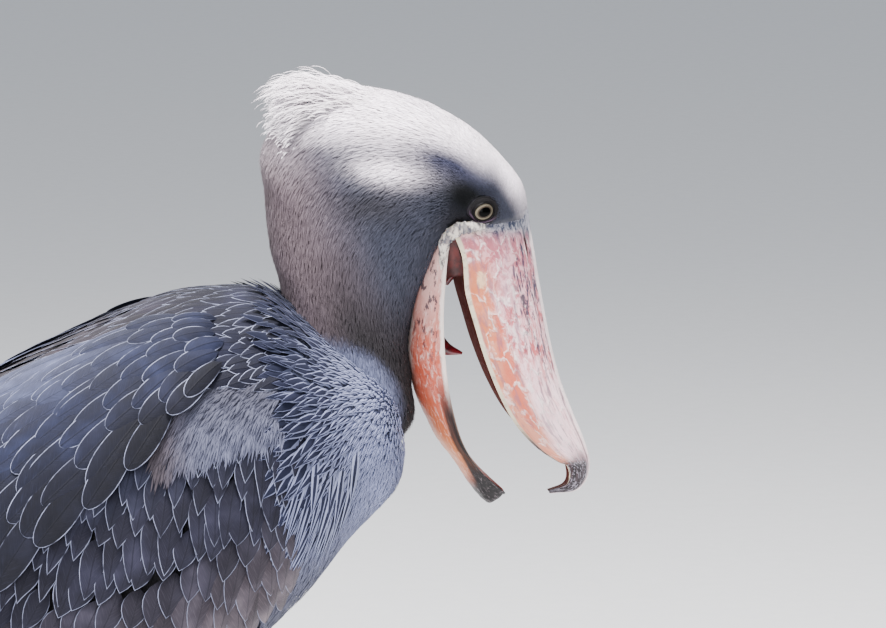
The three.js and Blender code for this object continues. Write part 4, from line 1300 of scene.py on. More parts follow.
def make_tail(sizes, paint):
    """Twelve tail feathers side by side, the middle pair on top, over a core of down."""
    vanes = Feathers(14, 7, lambda t: rounded(t, 0.8, 2.0), even=1.1)
    pairs = 6
    t = (np.arange(pairs) + 0.35) / pairs
    starts = np.stack([np.full(pairs, 0.0), t * 1.35], -1)
    stops = np.stack([0.985 - 0.05 * t**2, t * 1.3], -1)
    shape = {"base": (1 - 5 * t) * MM, "rise": 0.5 * MM, "cup": 1.4 * MM, "thick": 0.9 * MM}
    for _, side in SIDES:
        place = np.stack([0.1 + 0.8 * t, np.full(pairs, 0.3 + 0.4 * (side > 0))], -1)
        coat = with_alpha(paint.flight * jitter(pairs, 0.1)[:, None], 0.3)
        vanes.spanned(tail_form, starts, stops, 14 * MM, shape, coat, FLIGHT_PATCH, place, side)
    material = vane_material("tail_vanes", paint, 0.5, 0.15, 0.8)
    vanes.build("tail_feathers", material, "flight_feathers", "tail")
    down = plain_finish("tail_down", paint.flight, 0.8, 300)
    tube_piece("tail_core", form_loops(tail_form, 2.5 * MM, 20, 24), down, "flight_feathers")


def plain_finish(name, colour, roughness, scale, dark=0.6, bump=0.3):
    f = Finish(name, roughness)
    grain = f.noise(f.place(), scale, 4, 0.6)
    shade = f.mix(grain.over(0.3, 0.7), colour * dark, colour)
    return f.set(base_color=shade, normal=f.bump(grain, bump, 0.001))


def bill_loops(rows, steps, sides, arch, ridge, relief):
    """Loops of one half of the bill: over the outside from edge to edge, and back under its arch.
    Outside, a point is edge + (crest - edge) * rise(w); inside it is edge + (crest - edge) * arch(u) *
    (1 - w^2), and the wall is 2 mm thick at the edge. Also gives each point's zone: share of the length, of
    the height, and w, past 1 inside."""
    u = np.linspace(0, 1, steps)
    w = np.sin(np.linspace(-1, 1, sides) * math.pi / 2)
    table = np.array(rows, float) * MM
    row = through(table, u)[:, None]
    crest = np.stack([row[..., 0], 0 * row[..., 0], row[..., 1]], -1)
    base = np.stack([row[..., 2], 0 * row[..., 0], row[..., 3]], -1)
    half = row[..., 4]
    turn = np.abs(w) * math.pi / 2
    rise = (np.maximum(np.cos(turn), 0) ** 0.75 + ridge * bell(w, 0, 0.14)) / (1 + ridge)
    outer = base + (crest - base) * rise[None, :, None]
    outer[..., 1] = np.sign(w) * half * np.sin(turn) ** 0.92
    out = unit(np.cross(np.gradient(outer, axis=1), np.gradient(outer, axis=0)))
    middle = (base + crest) / 2
    out *= np.sign((out * (outer - middle)).sum(-1, keepdims=True).mean())
    outer = outer + out * relief(u[:, None], w[None], rise[None], outer)[..., None]
    w2 = np.linspace(1, -1, 31)
    inner = base + (crest - base) * (arch(u)[:, None] * (1 - w2**2))[..., None]
    inner[..., 1] = w2 * np.maximum(half - 2 * MM, half / 2)
    loops = np.concatenate([outer, inner], axis=1)
    across = np.concatenate([w, np.sign(w2) + w2])
    height = np.concatenate([rise, 0 * w2])
    zone = np.stack(np.broadcast_arrays(u[:, None], height[None], across[None]), -1).reshape(-1, 3)
    return loops, np.concatenate([zone, [[0, 0, 2], [1, 1, 0]]])


def make_bill(sizes, paint):
    """The upper and lower bill as closed shells, with nostrils, grooves beside the ridge, and the nail."""

    def upper_relief(u, w, rise, p):
        _, y, z = in_mm(p)
        wide = np.abs(w)
        slit = bell(u, 0.128, 0.034) * bell(wide, 0.25, 0.04)
        groove = bell(wide + 0.1 * u, 0.27, 0.05) * smooth(u, 0.1, 0.2) * smooth(u, 1.0, 0.9)
        wrinkle = np.sin(z * 1.3 + 2.2 * np.sin(y * 0.2)) * smooth(u, 0.14, 0.05)
        swell = np.sin(z * 0.19 + 5 * rise) * smooth(u, 0.1, 0.2) * smooth(wide, 0.3, 0.5)
        lip = 0.7 * bell(rise, 0.05, 0.035) - 0.5 * bell(rise, 0.16, 0.05)
        collar = 0.9 * bell(u, 0.06, 0.035)
        return (-4.0 * slit - 0.9 * groove + 0.25 * wrinkle + 0.22 * swell + lip + collar) * MM

    def lower_relief(u, w, rise, p):
        z = p[..., 2] / MM
        lip = 0.6 * bell(rise, 0.06, 0.05) - 0.5 * bell(rise, 0.2, 0.06)
        cross = np.sin(z * 0.9 + 1.5 * np.sin(z * 0.23)) * smooth(u, 0.05, 0.2) * smooth(rise, 0.2, 0.4)
        return (0.3 * np.sin(z * 0.16 + 3 * rise) + 0.1 * cross + lip) * MM

    top = bill_loops(
        (BILL_COLLAR, *UPPER_BILL), 150, 101, lambda u: 0.34 * (1 - u**4), 0.05, upper_relief
    )
    low = bill_loops((*LOWER_BILL, LOWER_TIP), 120, 71, lambda u: 0.7 * (1 - u**6), 0.02, lower_relief)
    halves = (("top", "upper", top, upper_horn(paint)), ("bottom", "lower", low, lower_horn(paint)))
    for name, node, (loops, zone), horn in halves:
        tube_piece(f"bill_{name}", loops, horn, "bill_horn", f"bill_{node}", attributes={"zone": zone})


def horn_fields(f):
    """The patterns that both halves share: places along, up and off the middle of the horn, clouds, flecks,
    streaks, cracks and a mottle."""
    u, height, across = f.split(f.attribute("zone", 1))
    place = f.place()
    lie = f.node("ShaderNodeCombineXYZ", None, {0: u * 0.23, 1: across * 0.085, 2: height * 0.02})
    warped = f.node(
        "ShaderNodeVectorMath",
        {"operation": "MULTIPLY_ADD"},
        {0: f.node("ShaderNodeTexNoise", None, {"Vector": lie, "Scale": 150, "Detail": 3}, output=1),
         1: (0.012, 0.012, 0.0), 2: lie},
    )
    clouds = f.noise(lie, 34, 3, 0.6)
    flecks = f.noise(lie, 260, 3, 0.6, stretch=(0.3, 1.0, 1.0))
    streaks = f.noise(lie, 120, 4, 0.65, stretch=(0.16, 1.0, 1.0))
    veins = f.cells(warped, 95, stretch=(0.6, 1.0, 1.0)).over(0.09, 0.0)
    mottle = f.noise(warped, 190, 5, 0.7)
    return u, height, across.abs(), place, clouds, flecks, streaks, veins, mottle


def upper_horn(paint):
    """Horn of the upper bill: pale pink with salmon patches, orange towards the edge, a white ridge, dark
    flecks beside it, a grey collar of skin at the base and a grey nail."""
    f = Finish("upper_bill_horn", 0.4, coat_roughness=0.25, specular_ior_level=0.2)
    u, height, wide, place, clouds, flecks, streaks, veins, mottle = horn_fields(f)
    pale, white = paint.bill_pink, paint.bill_ridge
    cream, blue, brown = linear(206, 192, 166), linear(44, 46, 66), linear(62, 42, 44)
    low = (height + 0.35 * (clouds - 0.5)).over(0.5, 0.22)
    blob = (((u - 0.44) * 6.5) ** 2 + ((height - 0.3) * 6) ** 2 + (mottle - 0.5) * 1.6).over(1.0, 0.1)
    spot = (((u - 0.205) * 48) ** 2 + ((height - 0.22) * 15) ** 2 + (mottle - 0.5) * 5).over(1.0, 0.0)
    beside = (height + 0.3 * (clouds - 0.5)).over(0.5, 0.75) * u.over(0.62, 0.25)
    spots = f.noise(place, 150, 4, 0.7, stretch=(1.0, 1.0, 0.45))
    end = (u + 0.08 * (clouds - 0.5) + 0.05 * height).over(0.68, 0.77)
    # The nail's dark stays off the ridge, so the painted highlight along it runs on over the nail.
    nail = end * (1.0 - wide.over(0.46, 0.2) * 0.85)
    edge = (height + 0.03 * (mottle - 0.5)).over(0.07, 0.045)
    slit = (((u - 0.128) * 27) ** 2 + ((wide - 0.25) * 24) ** 2).over(1.5, 0.6)
    collar = (u + 0.06 * (mottle - 0.5) + 0.03 * wide).over(0.14, 0.105)
    skin = f.layers(
        linear(50, 56, 76),
        (mottle.over(0.4, 0.56), linear(150, 148, 158)),
        (wide.over(0.7, 0.98), f.mix(mottle.over(0.4, 0.6), linear(120, 104, 102), cream)),
    )
    inner = wide.over(1.0, 1.02)
    shade = f.layers(
        pale,
        (clouds.over(0.4, 0.62) * u.over(0.7, 0.35), paint.bill_salmon),
        (mottle.over(0.4, 0.6) * 0.85, pale),
        (u.over(0.42, 0.14) * (0.5 + mottle.over(0.6, 0.4) * 0.4), linear(168, 98, 110)),
        (low * u.over(0.1, 0.22) * 0.85, paint.bill_orange),
        (blob * 0.8, linear(204, 92, 66)),
        (spot * 0.55, linear(236, 216, 176)),
        (veins * mottle.over(0.4, 0.6) * 0.8, white),
        (flecks.over(0.52, 0.66) * 0.55, linear(126, 92, 112)),
        (flecks.over(0.56, 0.63) * beside, blue),
        (spots.over(0.54, 0.59) * beside * u.over(0.08, 0.18) * 0.9, blue),
        (streaks.over(0.58, 0.7) * 0.4, brown),
        ((1.0 - end) * u.over(0.62, 0.72) * height.over(0.4, 0.7) * 0.6, linear(120, 52, 56)),
        (nail * 0.97, paint.nail),
        (nail * streaks.over(0.42, 0.52) * 0.9, linear(11, 9, 12)),
        (nail * mottle.over(0.52, 0.6) * 0.7, linear(176, 168, 182)),
        (wide.over(0.24, 0.2) * wide.over(0.15, 0.19) * u.over(0.4, 0.6) * 0.7, brown),
        # The ridge's white: partly the horn's own pale, partly painted highlight along the culmen.
        (wide.over(0.17, 0.13) * (0.6 + 0.4 * mottle), white),
        (edge, f.mix(mottle.over(0.5, 0.66) * 0.6, cream, linear(120, 112, 112))),
        (edge * u.over(0.5, 0.62) * streaks.over(0.42, 0.55), brown),
        (slit, linear(44, 12, 14)),
        (collar, skin),
        (inner, linear(84, 32, 22)),
    )
    height_map = mottle * 0.5 + streaks * 0.7 + veins * 0.5 + collar * spots
    return f.set(
        base_color=shade, roughness=0.26 + 0.3 * mottle + 0.25 * collar + 0.3 * inner,
        coat_weight=0.1 - 0.1 * inner, normal=f.bump(height_map, 0.5, 0.0014),
    )


def lower_horn(paint):
    """Horn of the lower bill: pale and streaked at the gape, salmon to orange, dark at the edge and tip."""
    f = Finish("lower_bill_horn", 0.4, coat_weight=0.07, coat_roughness=0.25, specular_ior_level=0.2)
    u, height, wide, place, clouds, _, streaks, veins, mottle = horn_fields(f)
    pale, salmon, dark = paint.lower_pink, paint.lower_salmon, paint.lower_edge
    white = linear(234, 222, 214)
    marks = f.noise(place, 190, 3, 0.7, stretch=(1.0, 1.0, 0.45))
    edge = (height + 0.25 * (mottle - 0.5)).over(0.17, 0.08)
    reach = height - 0.3 * u.over(0.5, 0.8) + 0.2 * (clouds - 0.5) + 0.1 * (mottle - 0.5)
    below = reach.over(0.4, 0.28) * u.over(0.36, 0.5)
    tip = (u + 0.14 * (clouds - 0.5) - 0.1 * height).over(0.61, 0.72)
    shade = f.layers(
        pale,
        ((u + 0.3 * (clouds - 0.5)).over(0.12, 0.35), salmon),
        ((u + 0.2 * (clouds - 0.5)).over(0.42, 0.6), paint.lower_orange),
        ((u + 0.2 * (clouds - 0.5)).over(0.68, 0.8) * 0.7, salmon),
        (mottle.over(0.45, 0.65) * u.over(0.55, 0.3) * 0.5, pale),
        (veins * 0.35 * mottle.over(0.42, 0.6), white),
        (marks.over(0.56, 0.62) * u.over(0.5, 0.2) * 0.85, linear(40, 38, 50)),
        ((height + 0.2 * (mottle - 0.5)).over(0.86, 0.94) * u.over(0.45, 0.3) * 0.7, white),
        (edge * u.over(0.55, 0.4) * 0.85, white),
        (below * (0.7 + 0.5 * streaks), dark),
        (height.over(0.05, 0.02) * u.over(0.4, 0.5) * 0.6, linear(130, 104, 90)),
        (tip, f.mix(mottle.over(0.54, 0.68) * 0.8, dark, linear(130, 118, 122))),
        (wide.over(1.0, 1.02), linear(118, 50, 42)),
    )
    normal = f.bump(mottle * 0.5 + streaks * 0.7, 0.4, 0.0012)
    return f.set(base_color=shade, roughness=0.28 + 0.3 * mottle, normal=normal)


def make_gape(sizes, paint):
    """Wrinkled skin at the corners of the mouth, a flat band with ripples along it, and the red skin that
    closes each corner, a sheet between two lines that sags inwards."""
    f = Finish("gape_skin", 0.55, subsurface_weight=0.1)
    wrinkles = f.noise(f.place(), 420, 4, 0.65, stretch=(1.0, 1.0, 0.35))
    patch = f.noise(f.place(), 150, 3)
    shade = f.layers(
        linear(74, 64, 70),
        (wrinkles.over(0.36, 0.56), paint.gape),
        (patch.over(0.48, 0.6) * 0.7, linear(66, 70, 86)),
    )
    cream = f.set(base_color=shade, normal=f.bump(wrinkles, 0.8, 0.0016))
    f = Finish("inner_cheek", 0.6)
    folds = f.noise(f.place(), 160, 3)
    shade = f.mix(folds.over(0.35, 0.7), linear(46, 10, 9), linear(84, 22, 18))
    red = f.set(base_color=shade, normal=f.bump(folds, 0.5, 0.001))
    t = np.linspace(0, 1, 14)[:, None]
    s = np.linspace(0, 1, 22)[None]
    for name, side in SIDES:
        path = [(x, y * side, z) for x, y, z in GAPE_PATH]
        wave = np.linspace(0, 60, 111)[:, None]
        turn = round_turn(30)[None]
        ripple = 1 + 0.1 * np.sin(wave + 2 * np.sin(turn) + 1.3 * np.sin(wave * 0.37))
        ripple = ripple + 0.05 * np.sin(wave * 0.31 + 3 * turn)
        loops = swollen(rod_loops(path, GAPE_SIZES, 110, 30), ripple[..., None])
        tube_piece(f"gape_skin_{name}", loops, cream, "mouth_flesh")
        upper = np.array([241, 44, 798]) + np.array([10.5, -2, -36]) * t
        lower = np.array([234, 42, 786]) + np.array([1.5, -3, -27]) * t
        sheet = upper[:, None] + (lower - upper)[:, None] * s[..., None]
        sag = np.sin(np.pi * s)
        sheet[..., 1] -= 3 * sag * (0.4 + t)
        back = sheet - np.array([0, 2.0, 0])
        loops = np.concatenate([sheet, back[:, ::-1]], axis=1) * np.array([1, side, 1]) * MM
        tube_piece(f"inner_cheek_{name}", loops, red, "mouth_flesh")


def make_mouth(sizes, paint):
    """The lining at the back of the mouth and the tongue."""
    flesh = Finish("mouth_flesh", 0.35, coat_weight=0.4, subsurface_weight=0.1)
    wrinkles = flesh.noise(flesh.place(), 120, 4)
    shade = flesh.mix(wrinkles.over(0.3, 0.7), linear(62, 10, 16), paint.mouth)
    material = flesh.set(base_color=shade, normal=flesh.bump(wrinkles, 0.4, 0.001))
    rods = (
        ("mouth_back", LINING_PATH, LINING_SIZES, "mouth_lining"),
        ("tongue_flesh", TONGUE_PATH, TONGUE_SIZES, "tongue"),
    )
    for name, path, widths, node in rods:
        tube_piece(name, rod_loops(path, widths, 30, 32), material, "mouth_flesh", node)


def eye_frame(side):
    """An eye's centre, where it looks, and the two directions across it: forwards and up."""
    look = unit(np.array([0.14, side * 1.0, -0.05]))
    ahead = unit(np.cross(np.array([0.0, 0.0, 1.0]), look) * -side)
    return EYE * np.array([1, side, 1]), look, ahead, np.cross(look, ahead) * -side


def make_eyes(sizes, paint):
    """Eyeballs with a pale iris and a clear cornea. A point is centre + look * r(a) cos(a) + (ahead cos(b) +
    up sin(b)) * r(a) sin(a), where r swells a little at the cornea."""
    f = Finish("eye", 0.06, specular_ior_level=0.05)
    ring, _, _ = f.split(f.attribute("ring", 1))
    fibre = f.noise(f.attribute("ring", 1), 5, 3, stretch=(3, 60, 1))
    cream, shadow = paint.iris, linear(48, 40, 34)
    shade = f.layers(
        cream,
        (fibre.over(0.3, 0.75), f.mix(0.5, cream, shadow)),
        (ring.over(0.7, 0.6) * 0.9, shadow),
        (ring.over(0.52, 0.48), (0.0, 0.0, 0.0)),
        (ring.over(0.84, 0.9), linear(20, 14, 16)),
    )
    material = f.set(base_color=shade)
    theta = np.linspace(0.02, math.pi - 0.02, 60)
    phi = round_turn(64)
    for name, side in SIDES:
        centre, look, ahead, up = eye_frame(side)
        swell = EYE_RADIUS * (1 + 0.05 * bell(theta, 0, 0.55))
        ball = (
            centre
            + look * (swell * np.cos(theta))[:, None, None]
            + ahead * (swell * np.sin(theta))[:, None, None] * np.cos(phi)[None, :, None]
            + up * (swell * np.sin(theta))[:, None, None] * np.sin(phi)[None, :, None]
        )
        oval = theta[:, None] * np.hypot(np.cos(phi - SLIT), 1.34 * np.sin(phi - SLIT))[None]
        zone = np.stack(np.broadcast_arrays(oval, phi[None] / FULL_TURN, 0.0), -1).reshape(-1, 3)
        zone = np.concatenate([zone, [[0, 0, 0], [math.pi, 0, 0]]])
        tube_piece(f"eyeball_{name}", ball, material, "eye", f"eye_{name}", attributes={"ring": zone})


def lid_profile(turn):
    """Reach of the lids' opening round the eye: wide along the slit, low across it."""
    return 8.1 * MM / (np.abs(np.cos(turn)) ** 2.3 + np.abs(np.sin(turn) * 1.24) ** 2.3) ** (1 / 2.3)


def make_lids(sizes, paint):
    """Bare skin round the eyes: a ring that rolls out from the opening over the eyeball and runs out over
    the face in folds. Its height over the face is a rim at the opening, a groove, and a crease below."""
    f = Finish("eyelid_skin", 0.6, specular_ior_level=0.2)
    ring, _, low = f.split(f.attribute("ring", 1))
    grain = f.noise(f.place(), 620, 4, 0.65)
    wide = f.noise(f.place(), 170, 3)
    shade = f.layers(
        linear(13, 10, 13),
        (grain.over(0.35, 0.68), paint.eyelid),
        (low * ring.over(0.26, 0.36) * ring.over(0.64, 0.54) * 0.8, linear(78, 60, 78)),
        # Painted shade: a dark line in the crease under the eye.
        (low * ring.over(0.58, 0.66) * ring.over(0.8, 0.7) * 0.9, linear(12, 8, 14)),
        # Painted shade: the upper half darker under the brow.
        ((1.0 - low) * 0.8, linear(11, 9, 11)),
        (ring.over(0.22, 0.1), linear(9, 6, 8)),
        # The outer skin runs out into the painted shadow over the eye.
        (ring.over(0.6, 0.85), f.mix(wide.over(0.4, 0.6), paint.temple_shadow, linear(40, 37, 44))),
    )
    material = f.set(base_color=shade, normal=f.bump(grain, 0.6, 0.0006))
    turn = round_turn(96)
    s = np.linspace(0, 1, 44)[:, None]
    for name, side in SIDES:
        centre, look, ahead, up = eye_frame(side)
        inner = lid_profile(turn - SLIT)
        outer = (15.0 - 3.6 * smooth(-np.sin(turn + 0.2), 0.1, 0.9)) * MM
        reach = inner + (outer - inner) * s
        flat = ahead * (reach * np.cos(turn))[..., None] + up * (reach * np.sin(turn))[..., None]
        dome = np.sqrt(np.maximum((EYE_RADIUS * 1.07) ** 2 - reach**2, 0))
        face = face_depth(centre + flat, look, centre)
        below = smooth(-np.sin(turn + 0.3), -0.1, 0.6)
        above = smooth(np.sin(turn + 0.3), -0.1, 0.7)
        rim = 0.6 * bell(s, 0.08, 0.08) - 0.5 * below * bell(s, 0.26, 0.07)
        crease = 0.6 * bell(s, 0.45, 0.12) - 0.7 * bell(s, 0.68, 0.07)
        brow = 1.1 * bell(s, 0.3, 0.2) - 0.5 * bell(s, 0.62, 0.08)
        fine = 0.06 * np.sin(s * 44 + 5 * np.sin(2 * turn) + 3 * np.sin(5 * turn)) * smooth(s, 0.15, 0.3)
        fold = (rim + crease * below + brow * above + fine) * MM
        ball = dome + 0.12 * MM
        height = ball + (face + 0.3 * MM - ball) * smooth(s, 0.0, 0.5) + fold - 3.2 * MM * smooth(s, 0.7, 1.0)
        front = centre + flat + look * height[..., None]
        back = centre + flat + look * (height - 2.2 * MM)[..., None]
        sheet = np.concatenate([front, back[::-1]])
        faces = grid_faces(len(sheet) + 1, len(turn)) % (len(sheet) * len(turn))
        if side < 0:
            faces = faces[:, ::-1]
        share = np.concatenate([s, s[::-1]])
        zone = np.stack(np.broadcast_arrays(share, turn / FULL_TURN, below), -1).reshape(-1, 3)
        points = sheet.reshape(-1, 3)
        finished(mesh_object(f"eyelids_{name}", points, faces, material, attributes={"ring": zone}), "eye")


def face_depth(points, look, centre):
    """How far the head's surface lies along the look direction from each point, by a few Newton steps on
    the form's share and angle."""
    side = np.sign(centre[1])
    flat = points.reshape(-1, 3) * np.array([1, side, 1])
    aim = look * np.array([1, side, 1])
    u = np.full(len(flat), 0.82)
    v = np.full(len(flat), 1.6)
    depth = np.zeros(len(flat))
    for _ in range(14):
        here = head_form.bare(u, v)
        along, round_it = head_form.slopes(u, v)
        gap = here - (flat + aim * depth[:, None])
        system = np.stack([along, round_it, np.broadcast_to(-aim, along.shape)], -1)
        step = np.linalg.solve(system + 1e-9 * np.eye(3), -gap[..., None])[..., 0]
        u = np.clip(u + np.clip(step[:, 0], -0.1, 0.1), 0.4, 0.999)
        v = np.clip(v + np.clip(step[:, 1], -0.3, 0.3), 0.2, 2.9)
        depth = depth + np.clip(step[:, 2], -0.02, 0.02)
    return depth.reshape(points.shape[:-1])


def toe_path(kind, side):
    angle, length, radius = TOES[kind]
    turn = math.radians(angle)
    x, y, _ = LEG["foot"]
    spot = lambda reach, z: (x + math.cos(turn) * reach, side * (y + math.sin(turn) * reach), z)
    low = radius - 0.7
    toe = [
        spot(0, radius + 5), spot(length * 0.3, low + 2.5), spot(length * 0.65, low),
        spot(length, low - 0.8),
    ]
    claw = [
        spot(length - 6, radius - 1.5), spot(length + 8, radius - 0.2), spot(length + 17, radius - 2.4),
        spot(length + CLAW_LENGTH, 1.1),
    ]
    return toe, claw, radius


def make_legs(sizes, paint):
    """Shins, tarsi, toes and claws, with plates of horny skin, and a knuckle under each foot."""
    skin = leg_material(paint)
    horn = plain_finish("claw_horn", paint.claw, 0.35, 260, 0.5, 0.2)
    theta = np.linspace(0.05, math.pi - 0.05, 20)[:, None]
    phi = round_turn(28)[None]
    for name, side in SIDES:
        cuff, ankle, foot = leg_points(("cuff", "ankle", "foot"), side)
        shin = [between(cuff, ankle, -0.12), between(cuff, ankle, 0.5), ankle]
        tarsus = [ankle, between(ankle, foot, 0.5), foot]
        rods = [
            ("shin", name, shin, ((9, 10), (8, 9), (11, 13.5)), 40, 28),
            ("tarsus", name, tarsus, ((10.5, 12.5), (6.8, 7.6), (10, 10.5)), 60, 28),
        ]
        for kind in TOES:
            toe, claw, r = toe_path(kind, side)
            which = f"{name}_{kind}"
            rods.append(("toe", which, toe, [(r * s, r * s) for s in (1.1, 0.95, 0.95, 0.72)], 60, 20))
            loops = rod_loops(claw, [(s, s * 1.1) for s in (4.4, 3.8, 2.6, 0.8)], 24, 16)
            tube_piece(f"claw_horn_{which}", loops, horn, "claw_horn", f"claw_{which}")
        for part, which, path, widths, steps, sides in rods:
            wave = 1 + 0.035 * np.sin(np.arange(steps + 1) * 2.1)[:, None, None]
            loops = swollen(rod_loops(path, widths, steps, sides), wave)
            tube_piece(f"{part}_skin_{which}", loops, skin, "leg_skin", f"{part}_{which}")
        knuckle = (
            foot[0] + 15.7 * np.sin(theta) * np.cos(phi),
            foot[1] + 15 * np.sin(theta) * np.sin(phi),
            13.5 + 13.4 * np.cos(theta),
        )
        knuckle = np.stack(np.broadcast_arrays(*knuckle), -1) * MM
        tube_piece(f"foot_ball_{name}", knuckle, skin, "leg_skin")


def leg_material(paint):
    f = Finish("leg_skin", 0.6)
    place = f.place()
    plates = f.cells(place, 210)
    grain = f.noise(place, 500, 3)
    seam = plates.over(0.09, 0.01)
    shade = f.layers(linear(64, 61, 61), (grain.over(0.3, 0.7), paint.leg), (seam * 0.7, linear(40, 36, 36)))
    return f.set(base_color=shade, normal=f.bump(grain * 0.3 - seam, 0.6, 0.0015))


def make_stage(sizes, paint):
    """The floor, four soft lights, the sky and the camera at the photograph's angle."""
    corners = np.array([[-1, -1, 0], [1, -1, 0], [1, 1, 0], [-1, 1, 0]]) * FLOOR_REACH
    f = Finish("floor_paper", 0.9)
    grain = f.noise(f.place(), 40, 3)
    shade = f.mix(grain, linear(214, 214, 216), linear(222, 222, 224))
    corners = corners + np.array([0, 0, CAD_BOX[0][2]])
    floor = mesh_object("floor", corners - SHIFT, np.array([[0, 1, 2, 3]]), f.set(base_color=shade))
    target = np.array([237, 0, 725]) * MM + SHIFT
    lights = (
        ("key", (-0.5, -0.7, 3.1), 1.2, 490, (1.0, 0.975, 0.96)),
        ("fill", (-1.6, -3.2, 0.9), 2.6, 125, (0.98, 0.98, 1.0)),
        ("rim", (2.0, 1.2, 1.5), 1.4, 90, (1.0, 0.99, 0.97)),
        ("back", (-1.2, 2.4, 2.2), 2.2, 90, (1.0, 0.99, 0.97)),
    )
    for name, place, width, power, colour in lights:
        data = bpy.data.lights.new(name, "AREA")
        data.size = width
        data.energy = power
        data.color = colour
        lamp = bpy.data.objects.new(name, data)
        lamp.location = target + np.array(place)
        aim(lamp, target)
        bpy.context.scene.collection.objects.link(lamp)
    world = bpy.data.worlds.new("studio")
    world.use_nodes = True
    backdrop = world.node_tree.nodes["Background"]
    backdrop.inputs["Color"].default_value = (0.8, 0.85, 0.92, 1)
    backdrop.inputs["Strength"].default_value = 0.76
    bpy.context.scene.world = world
    data = bpy.data.cameras.new("camera")
    data.sensor_width = 36
    data.lens = data.sensor_width * VIEW_AWAY / VIEW_WIDTH
    data.clip_end = 200
    camera = bpy.data.objects.new("camera", data)
    az, el = math.radians(VIEW_TURN), math.radians(VIEW_UP)
    away = np.array([math.sin(az) * math.cos(el), -math.cos(az) * math.cos(el), math.sin(el)])
    camera.location = target + away * VIEW_AWAY
    aim(camera, target)
    bpy.context.scene.collection.objects.link(camera)
    bpy.context.scene.camera = camera


def aim(thing, target):
    direction = Vector(target) - thing.location
    thing.rotation_euler = direction.to_track_quat("-Z", "Y").to_euler()


def colour_setting(label, words, *rgb):
    """A colour that a user may pick, given as 0 to 255 a channel and kept as the shader's linear values."""
    return bpy.props.FloatVectorProperty(
        name=label, description=words, subtype="COLOR", size=3, min=0, max=1, default=tuple(linear(*rgb))
    )


def length_setting(label, words, default):
    return bpy.props.FloatProperty(name=label, description=words, default=default, min=0, unit="LENGTH")


class ShoebillColours(bpy.types.PropertyGroup):
    """Colours of the coat and of the bare parts."""

    # Partly painted highlight: the crown's own pale colour raised nearly to white for the light on top.
    crown: colour_setting("Crown", "Feathers of the crown and the forehead", 250, 238, 247)
    # Partly painted highlight: pale wisps raised nearly to white like the crown.
    crest: colour_setting("Crest", "Wisps at the back of the crown", 252, 243, 249)
    cheek: colour_setting("Cheek", "Grey feathers of the cheek", 62, 64, 76)
    # Painted shade: the dark of the throat under the bill and of the face's shaded hollows.
    throat: colour_setting("Throat", "Dark feathers of the throat and in the face's hollows", 45, 42, 44)
    # Painted shadow: the nearly black hollow over the eye, where the crown shades the face.
    temple_shadow: colour_setting("Temple", "The nearly black hollow over the eye", 13, 15, 17)
    nape: colour_setting("Nape", "Mauve grey feathers of the nape", 104, 91, 96)
    breast: colour_setting("Breast", "Pale ground of the breast feathers", 119, 124, 154)
    streak: colour_setting("Streak", "The dark spear along a breast feather's shaft", 20, 23, 39)
    mantle: colour_setting("Mantle", "Feathers of the shoulders", 18, 20, 37)
    brown: colour_setting("Back", "Browner feathers along the back's ridge", 45, 38, 42)
    slate: colour_setting("Scapulars", "Broad feathers of the back's sides", 24, 28, 49)
    # Painted sheen: the colour laid on the upper scapulars where light catches them.
    sheen: colour_setting("Scapular sheen", "What the upper scapulars turn towards in the light", 81, 87, 116)
    covert: colour_setting("Coverts", "Upper rows of the wing coverts", 33, 33, 47)
    hanging: colour_setting("Low coverts", "Lowest rows of the wing coverts", 82, 75, 82)
    flight: colour_setting("Flight feathers", "Primaries, secondaries and tail", 28, 26, 33)
    rim: colour_setting("Rims", "The thin pale rims of the larger feathers", 145, 150, 177)
    down: colour_setting("Down", "Soft down at the shoulder", 64, 64, 75)
    belly: colour_setting("Belly", "Feathers of the belly and the thighs", 101, 103, 123)
    bill_pink: colour_setting("Bill", "Pale pink ground of the upper bill", 254, 216, 222)
    bill_salmon: colour_setting("Bill patches", "Salmon patches of the upper bill", 200, 96, 98)
    bill_orange: colour_setting("Bill edge", "Orange side of the upper bill towards its edge", 198, 112, 66)
    # Partly painted highlight: the ridge's white is partly light along the culmen; the veins are the horn's
    # own.
    bill_ridge: colour_setting("Bill ridge", "The nearly white ridge and veins of the bill", 236, 222, 220)
    nail: colour_setting("Nail", "The hooked tip of the upper bill", 44, 37, 43)
    lower_pink: colour_setting("Lower bill", "The lower bill near the gape", 206, 160, 152)
    lower_salmon: colour_setting("Lower bill's middle", "Salmon middle of the lower bill", 176, 80, 60)
    lower_orange: colour_setting("Lower bill's end", "Orange stretch before its dark tip", 176, 98, 48)
    lower_edge: colour_setting("Lower bill's edge", "The dark edge and tip", 13, 9, 10)
    gape: colour_setting("Gape", "Pale wrinkled skin at the mouth's corners", 222, 208, 196)
    mouth: colour_setting("Mouth", "Tongue and lining of the mouth", 120, 26, 38)
    iris: colour_setting("Iris", "The ring round the pupil", 118, 110, 94)
    eyelid: colour_setting("Eyelids", "Bare skin round the eyes", 32, 27, 31)
    leg: colour_setting("Legs", "Horny skin of the legs and toes", 92, 87, 86)
    claw: colour_setting("Claws", "Horn of the claws", 46, 42, 42)


